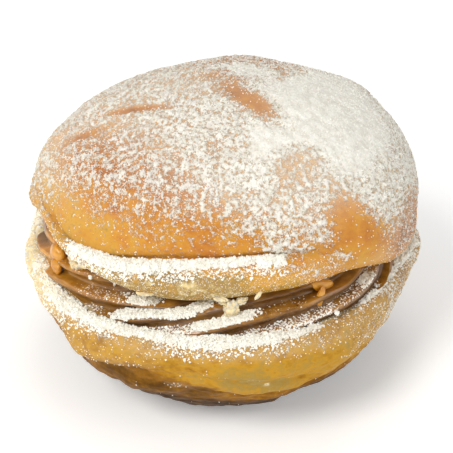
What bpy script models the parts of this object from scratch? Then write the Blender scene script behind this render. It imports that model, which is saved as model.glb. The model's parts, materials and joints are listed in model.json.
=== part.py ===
"""A filled doughnut, cut across and spread: a rounded lower half, a filling that stands in stepped ridges
round its side, and a domed upper half that leans open to the front. +X is right, +Y is away from the
front, +Z is up; the origin is under the middle of the whole, on the table. Sizes below are millimetres
and become metres at the end."""

import bpy
import bmesh
import math
import numpy as np

MM = 0.001
STEPS = 80                # segments round each half
FILL_STEPS = 96           # segments round the filling
GAP = 0.3                 # left between neighbouring pieces

# ---- lower half ----
BASE_R = 45.7             # radius at its widest
BASE_H = 30.1             # height of the cut rim
BASE_WIDEST = 26.6        # height of the widest ring
FOOT_R = 12.0             # flat spot it rests on
BASE_LEAN = (-1.7, -1.2)  # how far the rim stands off the foot
BASE_TILT = (1.1, 1.2)    # degrees: fall of the cut to the right, and to the front
BASE_OUT = ((2, -1.2, 0.4), (3, 0.1, 2.4), (4, 0.1, 0.6), (5, 0.5, 1.7))  # % of the radius
BASE_WAVE = ((2, -0.2, -0.5), (3, -0.1, 0.7), (4, -0.4, 0.2))              # rise of the rim
# azimuth, height, width in degrees, reach in height, push outward
BASE_LUMPS = ((6, 27.5, 26, 8, 1.5), (172, 27.0, 18, 7, 1.0), (275, 5.5, 34, 8, 1.2), (202, 21.0, 18, 7, -0.4),
              (238, 9.0, 24, 4.5, -0.8), (297, 7.5, 20, 5, -0.6), (262, 16.0, 16, 4, -0.3), (318, 16.0, 14, 6, 0.3),
              (100, 17.0, 30, 8, 0.6), (60, 10.0, 24, 6, -0.6), (138, 9.0, 26, 6, 0.5))

# ---- upper half ----
LID_R = 43.2
LID_H = 34.2
LID_WIDEST = 8.3
LID_FULL = (2.0, 1.88)
LID_LIFT = 5.6            # over the lower half's rim
LID_TILT = (3.5, -4.1)    # degrees: fall to the right, and rise of the front
LID_SHIFT = (0.5, 0.7)
LID_LEAN = (3.2, -0.9)   # how far the crown stands off the middle
LID_OUT = ((2, 1.7, 2.6), (3, -1.5, -1.3), (4, -1.1, 0.7), (5, -0.9, 0.3))
LID_WAVE = ((2, -0.4, 1.0), (3, -2.9, -1.3), (4, 0.1, 0.3))
LID_LUMPS = ((188, 2.0, 20, 6, 1.9), (350, 10.0, 34, 12, 0.8), (176, 20.0, 18, 7, -0.9), (130, 29.5, 26, 6, -0.9), (92, 30.5, 26, 6, 1.3),
             (36, 27.0, 17, 7, 1.6), (354, 3.0, 22, 7, 1.6), (262, 20.0, 30, 7, 0.3), (300, 15.0, 24, 7, -0.4),
             (225, 22.0, 22, 7, -0.3))
LID_DROOPS = ((353, 38, -2.2), (189, 22, -2.0))   # azimuth, width in degrees, sink of the rim there
LIP_FROM, LIP_TO = (188, 224), (286, 312)   # azimuths where the lip swells and where it fades
LIP_GROWS = (205, 260)    # azimuths between which it grows from thin to its full height
LIP_THIN = 0.18           # its height where it is thin, as a share

# ---- filling ----
RIDGES = 21               # starts of the stepped ridges that climb round the side
RIDGE_PITCH = 3.3         # height between two ridges
RIDGE_PHASE = 30.5        # height of one of them at azimuth 0
RIDGE_OUT = 1.7           # how far a ridge stands out
FILL_FOOT = 5.0           # set back of its foot from the lower half's widest ring
FILL_TOP = 8.2            # set back of its top from the upper half's widest ring


def ease(a, b, x):
    t = np.clip((x - a) / (b - a), 0.0, 1.0)
    return t * t * (3.0 - 2.0 * t)


def swell(x, centre, width):
    """1 at centre, 0 at width from it."""
    return 0.5 * (1.0 + np.cos(math.pi * np.clip(np.abs(x - centre) / width, 0.0, 1.0)))


def turn_swell(theta, centre, width):
    return swell((theta - centre + 180.0) % 360.0, 180.0, width)


def waves(theta, terms):
    a = np.radians(theta)
    return sum(c * np.cos(k * a) + s * np.sin(k * a) for k, c, s in terms)


def curve(rows, t):
    """A smooth curve through each row's points: rows is (m, k, 2), t runs from 0 to k - 1."""
    p = np.concatenate([2 * rows[:, :1] - rows[:, 1:2], rows, 2 * rows[:, -1:] - rows[:, -2:-1]], 1)
    i = np.clip(np.floor(t).astype(int), 0, rows.shape[1] - 2)
    u = (t - i)[None, :, None]
    a, b, c, d = p[:, i], p[:, i + 1], p[:, i + 2], p[:, i + 3]
    return 0.5 * (2 * b + (c - a) * u + (2 * a - 5 * b + 4 * c - d) * u ** 2 + (3 * b - a - 3 * c + d) * u ** 3)


# ---- the lower half's section: foot, bowl, rim, cut face ----
# the bowl between the flat spot and the widest ring: share of the radius, share of the height
BOWL = ((0.415, 0.022), (0.535, 0.07), (0.645, 0.145), (0.753, 0.262), (0.862, 0.452), (0.941, 0.66), (0.985, 0.84))


def base_section():
    pts = [(0.0, 0.0), (FOOT_R * 0.6, 0.0), (FOOT_R, 0.0)]
    pts += [(BASE_R * r, BASE_WIDEST * z) for r, z in BOWL]
    pts += [(BASE_R, BASE_WIDEST), (BASE_R - 0.6, BASE_H - 1.2), (BASE_R - 2.2, BASE_H - 0.1),
            (BASE_R - 4.4, BASE_H - 0.2), (BASE_R - 8.0, BASE_H - 1.0), (BASE_R - 14.0, BASE_H - 1.4),
            (BASE_R - 25.0, BASE_H - 1.5), (0.0, BASE_H - 1.5)]
    return np.array(pts)


BASE_KNOTS = 18
BASE_FACE = 13            # the knot where the cut face begins


def base_surface(theta, t):
    sec = curve(np.repeat(base_section()[None], len(theta), 0), t)
    r, z = sec[..., 0], sec[..., 1]
    up = ease(0.0, BASE_H, z)
    out = 1 + 0.01 * waves(theta, BASE_OUT)[:, None] * up
    push = np.zeros_like(r)
    for at, height, wide, tall, by in BASE_LUMPS:
        push += by * turn_swell(theta, at, wide)[:, None] * swell(z, height, tall)
    r = r * out + push * ease(0.0, 20.0, r)
    a = np.radians(theta)[:, None]
    x = r * np.cos(a) + BASE_LEAN[0] * up
    y = r * np.sin(a) + BASE_LEAN[1] * up
    z = z + up * (waves(theta, BASE_WAVE)[:, None] * ease(0, 30, sec[..., 0])
                  - math.tan(math.radians(BASE_TILT[0])) * x + math.tan(math.radians(BASE_TILT[1])) * y)
    return np.stack([x, y, np.maximum(z, 0.0)], -1)


# ---- the upper half's section: crown, dome, ledge and lip, cut face ----
DOME_AT = (90.0, 76.0, 62.0, 48.0, 35.0, 23.0)
LIP = ((-0.9, 11.2), (-1.9, 8.4), (0.4, 7.2), (1.3, 4.6), (0.9, 1.9), (-1.2, -0.5), (-4.6, -1.5), (-11.0, -0.6),
       (-20.0, 0.2))
PLAIN = ((-0.9, 12.0), (-0.1, 8.1), (0.0, 6.6), (-0.3, 4.6), (-1.2, 2.2), (-3.4, 0.4), (-6.5, -0.3), (-11.0, 0.2),
         (-20.0, 0.4))
LID_KNOTS = 16
LID_FACE = 12             # the knot where the cut face begins


def lip_share(theta):
    return ease(*LIP_FROM, theta % 360.0) * (1 - ease(*LIP_TO, theta % 360.0))


def lid_sections(theta):
    w = lip_share(theta)[:, None, None]
    a = np.radians(DOME_AT)
    r = LID_R * np.abs(np.cos(a)) ** (2 / LID_FULL[0])
    z = LID_WIDEST + (LID_H - LID_WIDEST) * np.sin(a) ** (2 / LID_FULL[1])
    r[0] = 0.0
    dome = np.repeat(np.stack([r, z], 1)[None], len(theta), 0)
    lip = np.repeat(np.array(LIP)[None], len(theta), 0)
    lip[..., 1] *= (LIP_THIN + (1 - LIP_THIN) * ease(*LIP_GROWS, theta % 360.0))[:, None]
    low = np.array(PLAIN)[None] * (1 - w) + lip * w
    low[..., 0] += LID_R
    end = np.repeat(np.array([[[0.0, 0.4]]]), len(theta), 0)
    return np.concatenate([dome, low, end], 1)


def lid_place(p):
    """The upper half's tilt and place over the lower one."""
    a, b = np.radians(LID_TILT)
    x = p[..., 0] * np.cos(a) + p[..., 2] * np.sin(a)
    z = -p[..., 0] * np.sin(a) + p[..., 2] * np.cos(a)
    y = p[..., 1] * np.cos(b) - z * np.sin(b)
    z = p[..., 1] * np.sin(b) + z * np.cos(b)
    return np.stack([x + LID_SHIFT[0], y + LID_SHIFT[1], z + BASE_H + LID_LIFT], -1)


def lid_surface(theta, t):
    sec = curve(lid_sections(theta), t)
    r, z = sec[..., 0], sec[..., 1]
    front = 0.2 + 0.8 * ease(150.0, 190.0, theta % 360.0) * (1 - ease(315.0, 350.0, theta % 360.0))
    rise = waves(theta, LID_WAVE) * front + sum(by * turn_swell(theta, at, wide) for at, wide, by in LID_DROOPS)
    wave = rise[:, None] * (1 - ease(0.0, 0.75 * LID_H, z)) * ease(0, 30, r)
    push = np.zeros_like(r)
    for at, height, wide, tall, by in LID_LUMPS:
        push += by * turn_swell(theta, at, wide)[:, None] * swell(z, height, tall)
    lean = np.clip(z / LID_H, 0, 1) ** 2
    r = r * (1 + 0.01 * waves(theta, LID_OUT)[:, None]) + push * ease(0.0, 16.0, r)
    a = np.radians(theta)[:, None]
    return lid_place(np.stack([r * np.cos(a) + LID_LEAN[0] * lean, r * np.sin(a) + LID_LEAN[1] * lean, z + wave], -1))


# ---- the filling: it lies on one cut face, stands in ridges, and meets the other ----
def fine_face(surface, first, last, theta):
    """The cut face along each azimuth, from its edge knot to the middle, as many close points."""
    return surface(theta, np.linspace(first, last, 60))


def at_radius(face, setback):
    """The point of each azimuth's cut face that lies where the share of its reach is setback."""
    out = np.empty((len(face), len(setback), 3))
    for i, line in enumerate(face):
        middle = line[-1]
        reach = np.hypot(line[:, 0] - middle[0], line[:, 1] - middle[1])
        for j in range(3):
            out[i, :, j] = np.interp(setback, reach[::-1], line[::-1, j])
    return out


def ridge(theta, z):
    """How far the side stands out at each azimuth and height: flat-topped steps with a round nose, cut in below."""
    n = (z - RIDGE_PHASE) / RIDGE_PITCH - RIDGES * theta[:, None] / 360.0
    f = n - np.floor(n)
    nose = ease(0.12, 0.8, f)
    shelf = 1 - ease(0.0, 0.14, f)
    return np.maximum(nose, shelf)


def fill_surface(theta, lower, side, upper):
    """lower and upper are radii on the cut faces, side is shares of the height between them."""
    floor = fine_face(base_surface, BASE_FACE - 1, BASE_KNOTS - 1, theta)
    roof = fine_face(lid_surface, LID_FACE - 1, LID_KNOTS - 1, theta)
    foot_r = BASE_R - FILL_FOOT
    top_r = LID_R - FILL_TOP
    low = at_radius(floor, np.append(np.asarray(lower), foot_r)) + np.array([0, 0, GAP])
    high = at_radius(roof, np.append(top_r, np.asarray(upper))) - np.array([0, 0, GAP])
    s = np.asarray(side)[None, :, None]
    foot, top = low[:, -1:], high[:, :1]
    bow = 0.55 * s + 0.45 * s ** 3
    wall = np.concatenate([foot[..., :2] * (1 - bow) + top[..., :2] * bow, foot[..., 2:] * (1 - s) + top[..., 2:] * s], -1)
    tall = np.maximum(top[..., 2] - foot[..., 2], 0.1)
    clear = ease(0.15, 1.0, wall[..., 2] - foot[..., 2]) * ease(0.15, 1.0, top[..., 2] - wall[..., 2])
    out = RIDGE_OUT * ridge(theta, wall[..., 2]) * clear * np.minimum(1.0, tall / 6.0)
    a = np.arctan2(wall[..., 1], wall[..., 0])
    wall[..., 0] += out * np.cos(a)
    wall[..., 1] += out * np.sin(a)
    return np.concatenate([low, wall, high], 1)


# ---- building ----
def clear_scene():
    for ob in list(bpy.data.objects):
        bpy.data.objects.remove(ob, do_unlink=True)
    for me in list(bpy.data.meshes):
        bpy.data.meshes.remove(me)


def material(name, colour, roughness):
    m = bpy.data.materials.new(name)
    m.use_nodes = True
    b = m.node_tree.nodes["Principled BSDF"]
    b.inputs["Base Color"].default_value = (*colour, 1.0)
    b.inputs["Roughness"].default_value = roughness
    b.inputs["Metallic"].default_value = 0.0
    m.diffuse_color = (*colour, 1.0)
    return m


def turned(name, profile, steps, collection):
    """A profile at +X turned about Z by a Screw modifier, then made plain mesh."""
    me = bpy.data.meshes.new(name + "_profile")
    me.from_pydata([(r * MM, 0.0, z * MM) for r, z in profile], [(i, i + 1) for i in range(len(profile) - 1)], [])
    ob = bpy.data.objects.new(name, me)
    collection.objects.link(ob)
    sc = ob.modifiers.new("turn", "SCREW")
    sc.axis = "Z"
    sc.angle = 2 * math.pi
    sc.steps = steps
    sc.render_steps = steps
    sc.use_merge_vertices = True
    sc.merge_threshold = 0.00001
    bpy.context.view_layer.update()
    shape = bpy.data.meshes.new_from_object(ob.evaluated_get(bpy.context.evaluated_depsgraph_get()))
    ob.modifiers.clear()
    ob.data = shape
    shape.name = name
    return ob


def shaped(ob, profile, steps, grid):
    """Moves the turned mesh's vertices from their place on the plain turning to their place on the real surface."""
    me = ob.data
    co = np.empty(len(me.vertices) * 3)
    me.vertices.foreach_get("co", co)
    co = co.reshape(-1, 3) / MM
    r = np.hypot(co[:, 0], co[:, 1])
    i = np.round(np.degrees(np.arctan2(co[:, 1], co[:, 0])) / (360.0 / steps)).astype(int) % steps
    near = np.abs(r[:, None] - profile[None, :, 0]) + np.abs(co[:, 2][:, None] - profile[None, :, 1])
    j = near.argmin(1)
    i = np.where(r < 1e-3, 0, i)
    me.vertices.foreach_set("co", (grid[i, j] * MM).ravel())
    me.update()
    bm = bmesh.new()
    bm.from_mesh(me)
    bmesh.ops.triangulate(bm, faces=[f for f in bm.faces if len(f.verts) > 3], quad_method="FIXED")
    bmesh.ops.recalc_face_normals(bm, faces=bm.faces)
    bm.to_mesh(me)
    bm.free()
    me.shade_smooth()
    return ob


def main():
    clear_scene()
    parts = bpy.data.collections.new("jelly_filled_doughnut")
    bpy.context.scene.collection.children.link(parts)

    theta = np.arange(STEPS) * 360.0 / STEPS
    # lower half
    t = np.array([0, 2, 3, 4, 5, 6, 7, 8, 9, 9.5, 10, 10.5, 11, 11.5, 12.2, 13, 14, 15, 16, 17])
    plain = curve(base_section()[None], t)[0]
    lower = turned("lower_half", plain, STEPS, parts)
    shaped(lower, plain, STEPS, base_surface(theta, t))
    lower.data.materials.append(material("lower_dough", (0.72, 0.50, 0.20), 0.75))

    # upper half
    t = np.array([0, 1, 2, 3, 4, 5, 6, 6.6, 7.1, 7.6, 8.2, 9, 9.7, 10.3, 11, 11.6, 12.3, 13, 14, 15])
    plain = curve(lid_sections(np.array([240.0])), t)[0]
    upper = turned("upper_half", plain, STEPS, parts)
    shaped(upper, plain, STEPS, lid_surface(theta, t))
    upper.data.materials.append(material("upper_dough", (0.74, 0.52, 0.28), 0.75))

    # filling
    theta = np.arange(FILL_STEPS) * 360.0 / FILL_STEPS
    low, high = (0.0, BASE_R - 25.0, BASE_R - 14.0), (LID_R - 11.0, LID_R - 20.0, 0.0)
    side = np.linspace(0, 1, 16)[1:-1]
    grid = fill_surface(theta, low, side, high)
    # the turning's own profile: the same rows, one radius step apart so that each row keeps its own place
    n = grid.shape[1]
    rows = np.array([(0.0, 30.0)] + [(20.0 + 20.0 * math.sin(math.pi * (k - 0.5) / (n - 2)), 30.0 + k) for k in range(1, n - 1)] + [(0.0, 30.0 + n)])
    filling = turned("filling", rows, FILL_STEPS, parts)
    shaped(filling, rows, FILL_STEPS, grid)
    filling.data.materials.append(material("caramel", (0.38, 0.17, 0.05), 0.35))

    # stand the whole on z = 0 with its middle at the origin
    pts = np.array([v.co for ob in (lower, upper, filling) for v in ob.data.vertices])
    mid = (pts.min(0) + pts.max(0)) / 2
    move = np.array([-mid[0], -mid[1], -pts[:, 2].min()])
    for ob in (lower, upper, filling):
        for v in ob.data.vertices:
            v.co.x += move[0]
            v.co.y += move[1]
            v.co.z += move[2]
        ob.data.update()
        print(ob.name, "triangles", len(ob.data.polygons), "size mm",
              [round(1000 * d, 2) for d in ob.dimensions])
    print("moved mm", [round(1000 * float(m), 3) for m in move])


main()
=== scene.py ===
"""The looks of a filled doughnut: fried dough halves dusted with powdered sugar, and a caramel filling in folded
layers between them. Every form repeats the part's own functions at a finer step and adds relief, sugar and crumbs."""

import bpy
import json
import math
import numpy as np
from mathutils import Matrix

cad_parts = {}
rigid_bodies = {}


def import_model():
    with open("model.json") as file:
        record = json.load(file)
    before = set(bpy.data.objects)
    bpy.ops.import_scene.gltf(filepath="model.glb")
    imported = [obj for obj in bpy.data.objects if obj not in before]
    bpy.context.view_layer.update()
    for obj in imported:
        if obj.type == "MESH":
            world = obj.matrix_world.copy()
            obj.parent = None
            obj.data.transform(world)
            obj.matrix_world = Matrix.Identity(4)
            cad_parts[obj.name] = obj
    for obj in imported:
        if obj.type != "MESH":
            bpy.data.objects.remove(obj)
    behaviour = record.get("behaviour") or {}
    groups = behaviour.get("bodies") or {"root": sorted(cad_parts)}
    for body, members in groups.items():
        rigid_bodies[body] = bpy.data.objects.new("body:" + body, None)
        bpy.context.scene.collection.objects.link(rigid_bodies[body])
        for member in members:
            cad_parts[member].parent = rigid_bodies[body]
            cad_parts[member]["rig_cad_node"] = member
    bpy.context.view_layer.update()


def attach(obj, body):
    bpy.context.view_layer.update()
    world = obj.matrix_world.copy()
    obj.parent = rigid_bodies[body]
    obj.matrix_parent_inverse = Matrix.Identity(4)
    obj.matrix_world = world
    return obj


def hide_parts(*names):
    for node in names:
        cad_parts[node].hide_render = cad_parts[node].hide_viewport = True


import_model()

MM = 0.001
MOVED = np.array([1.029, 1.465, 0.0])

# ------------------------------------------------------------------ the part's own shape (millimetres)
GAP = 0.3
BASE_R = 45.7
BASE_H = 30.1
BASE_WIDEST = 26.6
FOOT_R = 12.0
BASE_LEAN = (-1.7, -1.2)
BASE_TILT = (1.1, 1.2)
BASE_OUT = ((2, -1.2, 0.4), (3, 0.1, 2.4), (4, 0.1, 0.6), (5, 0.5, 1.7))
BASE_WAVE = ((2, -0.2, -0.5), (3, -0.1, 0.7), (4, -0.4, 0.2))
BASE_LUMPS = ((5, 29.0, 22, 5, 2.2), (12, 21.0, 24, 6, -0.3), (170, 26.0, 18, 7, -0.9), (275, 5.5, 34, 8, 1.2), (202, 21.0, 18, 7, -0.4),
              (238, 9.0, 24, 4.5, -0.8), (297, 7.5, 20, 5, -0.6), (262, 16.0, 16, 4, -0.3), (318, 16.0, 14, 6, 0.3),
              (100, 17.0, 30, 8, 0.6), (60, 10.0, 24, 6, -0.6), (138, 9.0, 26, 6, 0.5))
LID_R = 43.2
LID_H = 34.2
LID_WIDEST = 8.3
LID_FULL = (2.0, 1.88)
LID_LIFT = 5.6
LID_TILT = (3.5, -4.1)
LID_SHIFT = (0.5, 0.7)
LID_LEAN = (3.2, -0.9)
LID_OUT = ((2, 1.7, 2.6), (3, -1.5, -1.3), (4, -1.1, 0.7), (5, -0.9, 0.3))
LID_WAVE = ((2, -0.4, 1.0), (3, -2.9, -1.3), (4, 0.1, 0.3))
LID_LUMPS = ((188, 2.0, 20, 6, 1.9), (350, 12.0, 30, 12, -0.2), (176, 20.0, 18, 7, -0.9), (130, 29.5, 26, 6, -0.9),
             (92, 30.5, 26, 6, 1.3), (36, 27.0, 17, 7, 1.6), (354, 3.0, 22, 7, 1.6), (262, 20.0, 30, 7, 0.3),
             (300, 15.0, 24, 7, -0.4), (225, 22.0, 22, 7, -0.3))
LID_DROOPS = ((353, 38, -2.2), (189, 22, -2.0))
LIP_FROM, LIP_TO = (188, 224), (286, 312)
LIP_GROWS = (205, 260)
LIP_THIN = 0.18
RIDGES = 21
RIDGE_PITCH = 3.3
RIDGE_PHASE = 30.5
RIDGE_OUT = 1.7
FILL_FOOT = 5.0
FILL_TOP = 8.2
BOWL = ((0.415, 0.022), (0.535, 0.07), (0.645, 0.145), (0.753, 0.262), (0.862, 0.452), (0.941, 0.66), (0.985, 0.84))
BASE_KNOTS, BASE_FACE = 18, 13
DOME_AT = (90.0, 76.0, 62.0, 48.0, 35.0, 23.0)
LIP = ((-0.9, 11.2), (-1.9, 8.4), (0.4, 7.2), (1.3, 4.6), (0.9, 1.9), (-1.2, -0.5), (-4.6, -1.5), (-11.0, -0.6),
       (-20.0, 0.2))
PLAIN = ((-0.9, 12.0), (-0.1, 8.1), (0.0, 6.6), (-0.3, 4.6), (-1.2, 2.2), (-3.4, 0.4), (-6.5, -0.3), (-11.0, 0.2),
         (-20.0, 0.4))
LID_KNOTS, LID_FACE = 16, 12


def ease(a, b, x):
    t = np.clip((x - a) / (b - a), 0.0, 1.0)
    return t * t * (3.0 - 2.0 * t)


def swell(x, centre, width):
    return 0.5 * (1.0 + np.cos(math.pi * np.clip(np.abs(x - centre) / width, 0.0, 1.0)))


def turn_swell(theta, centre, width):
    return swell((theta - centre + 180.0) % 360.0, 180.0, width)


def waves(theta, terms):
    a = np.radians(theta)
    return sum(c * np.cos(k * a) + s * np.sin(k * a) for k, c, s in terms)


def curve(rows, t):
    p = np.concatenate([2 * rows[:, :1] - rows[:, 1:2], rows, 2 * rows[:, -1:] - rows[:, -2:-1]], 1)
    i = np.clip(np.floor(t).astype(int), 0, rows.shape[1] - 2)
    u = (t - i)[None, :, None]
    a, b, c, d = p[:, i], p[:, i + 1], p[:, i + 2], p[:, i + 3]
    return 0.5 * (2 * b + (c - a) * u + (2 * a - 5 * b + 4 * c - d) * u ** 2 + (3 * b - a - 3 * c + d) * u ** 3)


def base_section():
    pts = [(0.0, 0.0), (FOOT_R * 0.6, 0.0), (FOOT_R, 0.0)]
    pts += [(BASE_R * r, BASE_WIDEST * z) for r, z in BOWL]
    pts += [(BASE_R, BASE_WIDEST), (BASE_R - 0.6, BASE_H - 1.2), (BASE_R - 2.2, BASE_H - 0.1),
            (BASE_R - 4.4, BASE_H - 0.2), (BASE_R - 8.0, BASE_H - 1.0), (BASE_R - 14.0, BASE_H - 1.4),
            (BASE_R - 25.0, BASE_H - 1.5), (0.0, BASE_H - 1.5)]
    return np.array(pts)


def base_surface(theta, t):
    sec = curve(np.repeat(base_section()[None], len(theta), 0), t)
    r, z = sec[..., 0], sec[..., 1]
    up = ease(0.0, BASE_H, z)
    out = 1 + 0.01 * waves(theta, BASE_OUT)[:, None] * up
    push = np.zeros_like(r)
    for at, height, wide, tall, by in BASE_LUMPS:
        push += by * turn_swell(theta, at, wide)[:, None] * swell(z, height, tall)
    r = r * out + push * ease(0.0, 20.0, r)
    a = np.radians(theta)[:, None]
    x = r * np.cos(a) + BASE_LEAN[0] * up
    y = r * np.sin(a) + BASE_LEAN[1] * up
    z = z + up * (waves(theta, BASE_WAVE)[:, None] * ease(0, 30, sec[..., 0])
                  - math.tan(math.radians(BASE_TILT[0])) * x + math.tan(math.radians(BASE_TILT[1])) * y)
    return np.stack([x, y, np.maximum(z, 0.0)], -1) + MOVED


def lip_share(theta):
    return ease(*LIP_FROM, theta % 360.0) * (1 - ease(*LIP_TO, theta % 360.0))


def lid_sections(theta):
    w = lip_share(theta)[:, None, None]
    a = np.radians(DOME_AT)
    r = LID_R * np.abs(np.cos(a)) ** (2 / LID_FULL[0])
    z = LID_WIDEST + (LID_H - LID_WIDEST) * np.sin(a) ** (2 / LID_FULL[1])
    r[0] = 0.0
    dome = np.repeat(np.stack([r, z], 1)[None], len(theta), 0)
    lip = np.repeat(np.array(LIP)[None], len(theta), 0)
    lip[..., 1] *= (LIP_THIN + (1 - LIP_THIN) * ease(*LIP_GROWS, theta % 360.0))[:, None]
    low = np.array(PLAIN)[None] * (1 - w) + lip * w
    low[..., 0] += LID_R
    end = np.repeat(np.array([[[0.0, 0.4]]]), len(theta), 0)
    return np.concatenate([dome, low, end], 1)


def lid_place(p):
    a, b = np.radians(LID_TILT)
    x = p[..., 0] * np.cos(a) + p[..., 2] * np.sin(a)
    z = -p[..., 0] * np.sin(a) + p[..., 2] * np.cos(a)
    y = p[..., 1] * np.cos(b) - z * np.sin(b)
    z = p[..., 1] * np.sin(b) + z * np.cos(b)
    return np.stack([x + LID_SHIFT[0], y + LID_SHIFT[1], z + BASE_H + LID_LIFT], -1)


def lid_surface(theta, t):
    sec = curve(lid_sections(theta), t)
    r, z = sec[..., 0], sec[..., 1]
    front = 0.2 + 0.8 * ease(150.0, 190.0, theta % 360.0) * (1 - ease(315.0, 350.0, theta % 360.0))
    rise = waves(theta, LID_WAVE) * front + sum(by * turn_swell(theta, at, wide) for at, wide, by in LID_DROOPS)
    wave = rise[:, None] * (1 - ease(0.0, 0.75 * LID_H, z)) * ease(0, 30, r)
    push = np.zeros_like(r)
    for at, height, wide, tall, by in LID_LUMPS:
        push += by * turn_swell(theta, at, wide)[:, None] * swell(z, height, tall)
    lean = np.clip(z / LID_H, 0, 1) ** 2
    r = r * (1 + 0.01 * waves(theta, LID_OUT)[:, None]) + push * ease(0.0, 16.0, r)
    a = np.radians(theta)[:, None]
    return lid_place(np.stack([r * np.cos(a) + LID_LEAN[0] * lean, r * np.sin(a) + LID_LEAN[1] * lean, z + wave], -1)) + MOVED


def at_radius(face, setback):
    out = np.empty((len(face), len(setback), 3))
    for i, line in enumerate(face):
        middle = line[-1]
        reach = np.hypot(line[:, 0] - middle[0], line[:, 1] - middle[1])
        for j in range(3):
            out[i, :, j] = np.interp(setback, reach[::-1], line[::-1, j])
    return out


# the layers of the filling climb as they go round, quickly at the back and the front left, slowly to the right
LAYER_CLIMB = ((-15, 0.0), (60, 2.3), (130, 4.6), (206, 7.05), (229, 7.75), (285, 10.3), (345, 11.0))   # azimuth, steps
LAYER_PHASE = 0.20
LAYER_DRAWN = ((214, 26, 32.5, 7.0, -0.33), (250, 18, 33.8, 2.0, 0.50), (318, 30, 33.5, 5.0, -0.20))
# azimuth, its reach, height, its reach, by which share of a step


def climbed(theta):
    at, steps = np.array(LAYER_CLIMB).T
    turn = steps[-1] - steps[0]
    at, steps = np.concatenate([at[:-1] - 360, at[:-1], at + 360]), np.concatenate([steps[:-1] - turn, steps[:-1], steps + turn])
    return sum(np.interp(theta % 360 + d, at, steps) for d in (-9, -6, -3, 0, 3, 6, 9)) / 7


def ridge_number(theta, z):
    n = (z - RIDGE_PHASE) / RIDGE_PITCH - climbed(theta)[:, None] + LAYER_PHASE
    for at, wide, height, tall, by in LAYER_DRAWN:
        n = n + by * turn_swell(theta, at, wide)[:, None] * swell(z, height, tall)
    return n


def fill_wall(theta, side):
    """The filling's side between the two halves: side is shares of the height from the lower to the upper."""
    floor = base_surface(theta, np.linspace(BASE_FACE - 1, BASE_KNOTS - 1, 60))
    roof = lid_surface(theta, np.linspace(LID_FACE - 1, LID_KNOTS - 1, 60))
    foot = at_radius(floor, [BASE_R - FILL_FOOT])
    top = at_radius(roof, [LID_R - FILL_TOP])
    s = np.asarray(side)[None, :, None]
    bow = 0.55 * s + 0.45 * s ** 3
    wall = np.concatenate([foot[..., :2] * (1 - bow) + top[..., :2] * bow, foot[..., 2:] * (1 - s) + top[..., 2:] * s], -1)
    tall = np.maximum(top[..., 2] - foot[..., 2], 0.1)
    return wall, foot, top, tall


# ------------------------------------------------------------------ noise
def lattice(i, j, k, seed):
    h = (i.astype(np.int64).astype(np.uint32) * np.uint32(0x8DA6B343)
         ^ j.astype(np.int64).astype(np.uint32) * np.uint32(0xD8163841)
         ^ k.astype(np.int64).astype(np.uint32) * np.uint32(0xCB1AB31F)
         ^ np.uint32((seed * 0x9E3779B1) & 0xFFFFFFFF))
    h ^= h >> np.uint32(15)
    h *= np.uint32(0x2C1B3C6D)
    h ^= h >> np.uint32(12)
    h *= np.uint32(0x297A2D39)
    h ^= h >> np.uint32(15)
    return h


def smooth_noise(p, size, seed):
    """Gradient noise, about -1 to 1, with features of that size in mm."""
    q = p / size
    c = np.floor(q)
    f = q - c
    w = f * f * f * (f * (f * 6 - 15) + 10)
    out = 0.0
    for dx in (0, 1):
        wx = w[..., 0] if dx else 1 - w[..., 0]
        for dy in (0, 1):
            wy = w[..., 1] if dy else 1 - w[..., 1]
            for dz in (0, 1):
                wz = w[..., 2] if dz else 1 - w[..., 2]
                h = lattice(c[..., 0] + dx, c[..., 1] + dy, c[..., 2] + dz, seed)
                gx = (h & np.uint32(255)) / 127.5 - 1
                gy = ((h >> np.uint32(8)) & np.uint32(255)) / 127.5 - 1
                gz = ((h >> np.uint32(16)) & np.uint32(255)) / 127.5 - 1
                out = out + wx * wy * wz * (gx * (f[..., 0] - dx) + gy * (f[..., 1] - dy) + gz * (f[..., 2] - dz))
    return out * 1.5


def rough_noise(p, size, seed, octaves=3, gain=0.55):
    out, amp, total = 0.0, 1.0, 0.0
    for k in range(octaves):
        out = out + amp * smooth_noise(p, size / 2.03 ** k, seed + 17 * k)
        total += amp
        amp *= gain
    return out / total


def lumps_noise(p, size, seed):
    """Rounded lumps: 1 at a lump's middle, 0 between lumps."""
    q = p / size
    c = np.floor(q)
    best = np.full(q.shape[:-1], 9.0)
    for dx in (-1, 0, 1):
        for dy in (-1, 0, 1):
            for dz in (-1, 0, 1):
                h = lattice(c[..., 0] + dx, c[..., 1] + dy, c[..., 2] + dz, seed)
                ox = (h & np.uint32(1023)) / 1023.0
                oy = ((h >> np.uint32(10)) & np.uint32(1023)) / 1023.0
                oz = ((h >> np.uint32(20)) & np.uint32(1023)) / 1023.0
                d = ((c[..., 0] + dx + ox - q[..., 0]) ** 2 + (c[..., 1] + dy + oy - q[..., 1]) ** 2
                     + (c[..., 2] + dz + oz - q[..., 2]) ** 2)
                best = np.minimum(best, d)
    return np.clip(1.0 - best, 0.0, 1.0)


# ------------------------------------------------------------------ painting by direction
LID_MIDDLE = np.array([1.5, 2.2, 41.0])
BASE_MIDDLE = np.array([0.0, 0.8, 27.0])


def directions(p, middle):
    d = p - middle
    return d / np.maximum(np.linalg.norm(d, axis=-1, keepdims=True), 1e-9)


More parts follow.
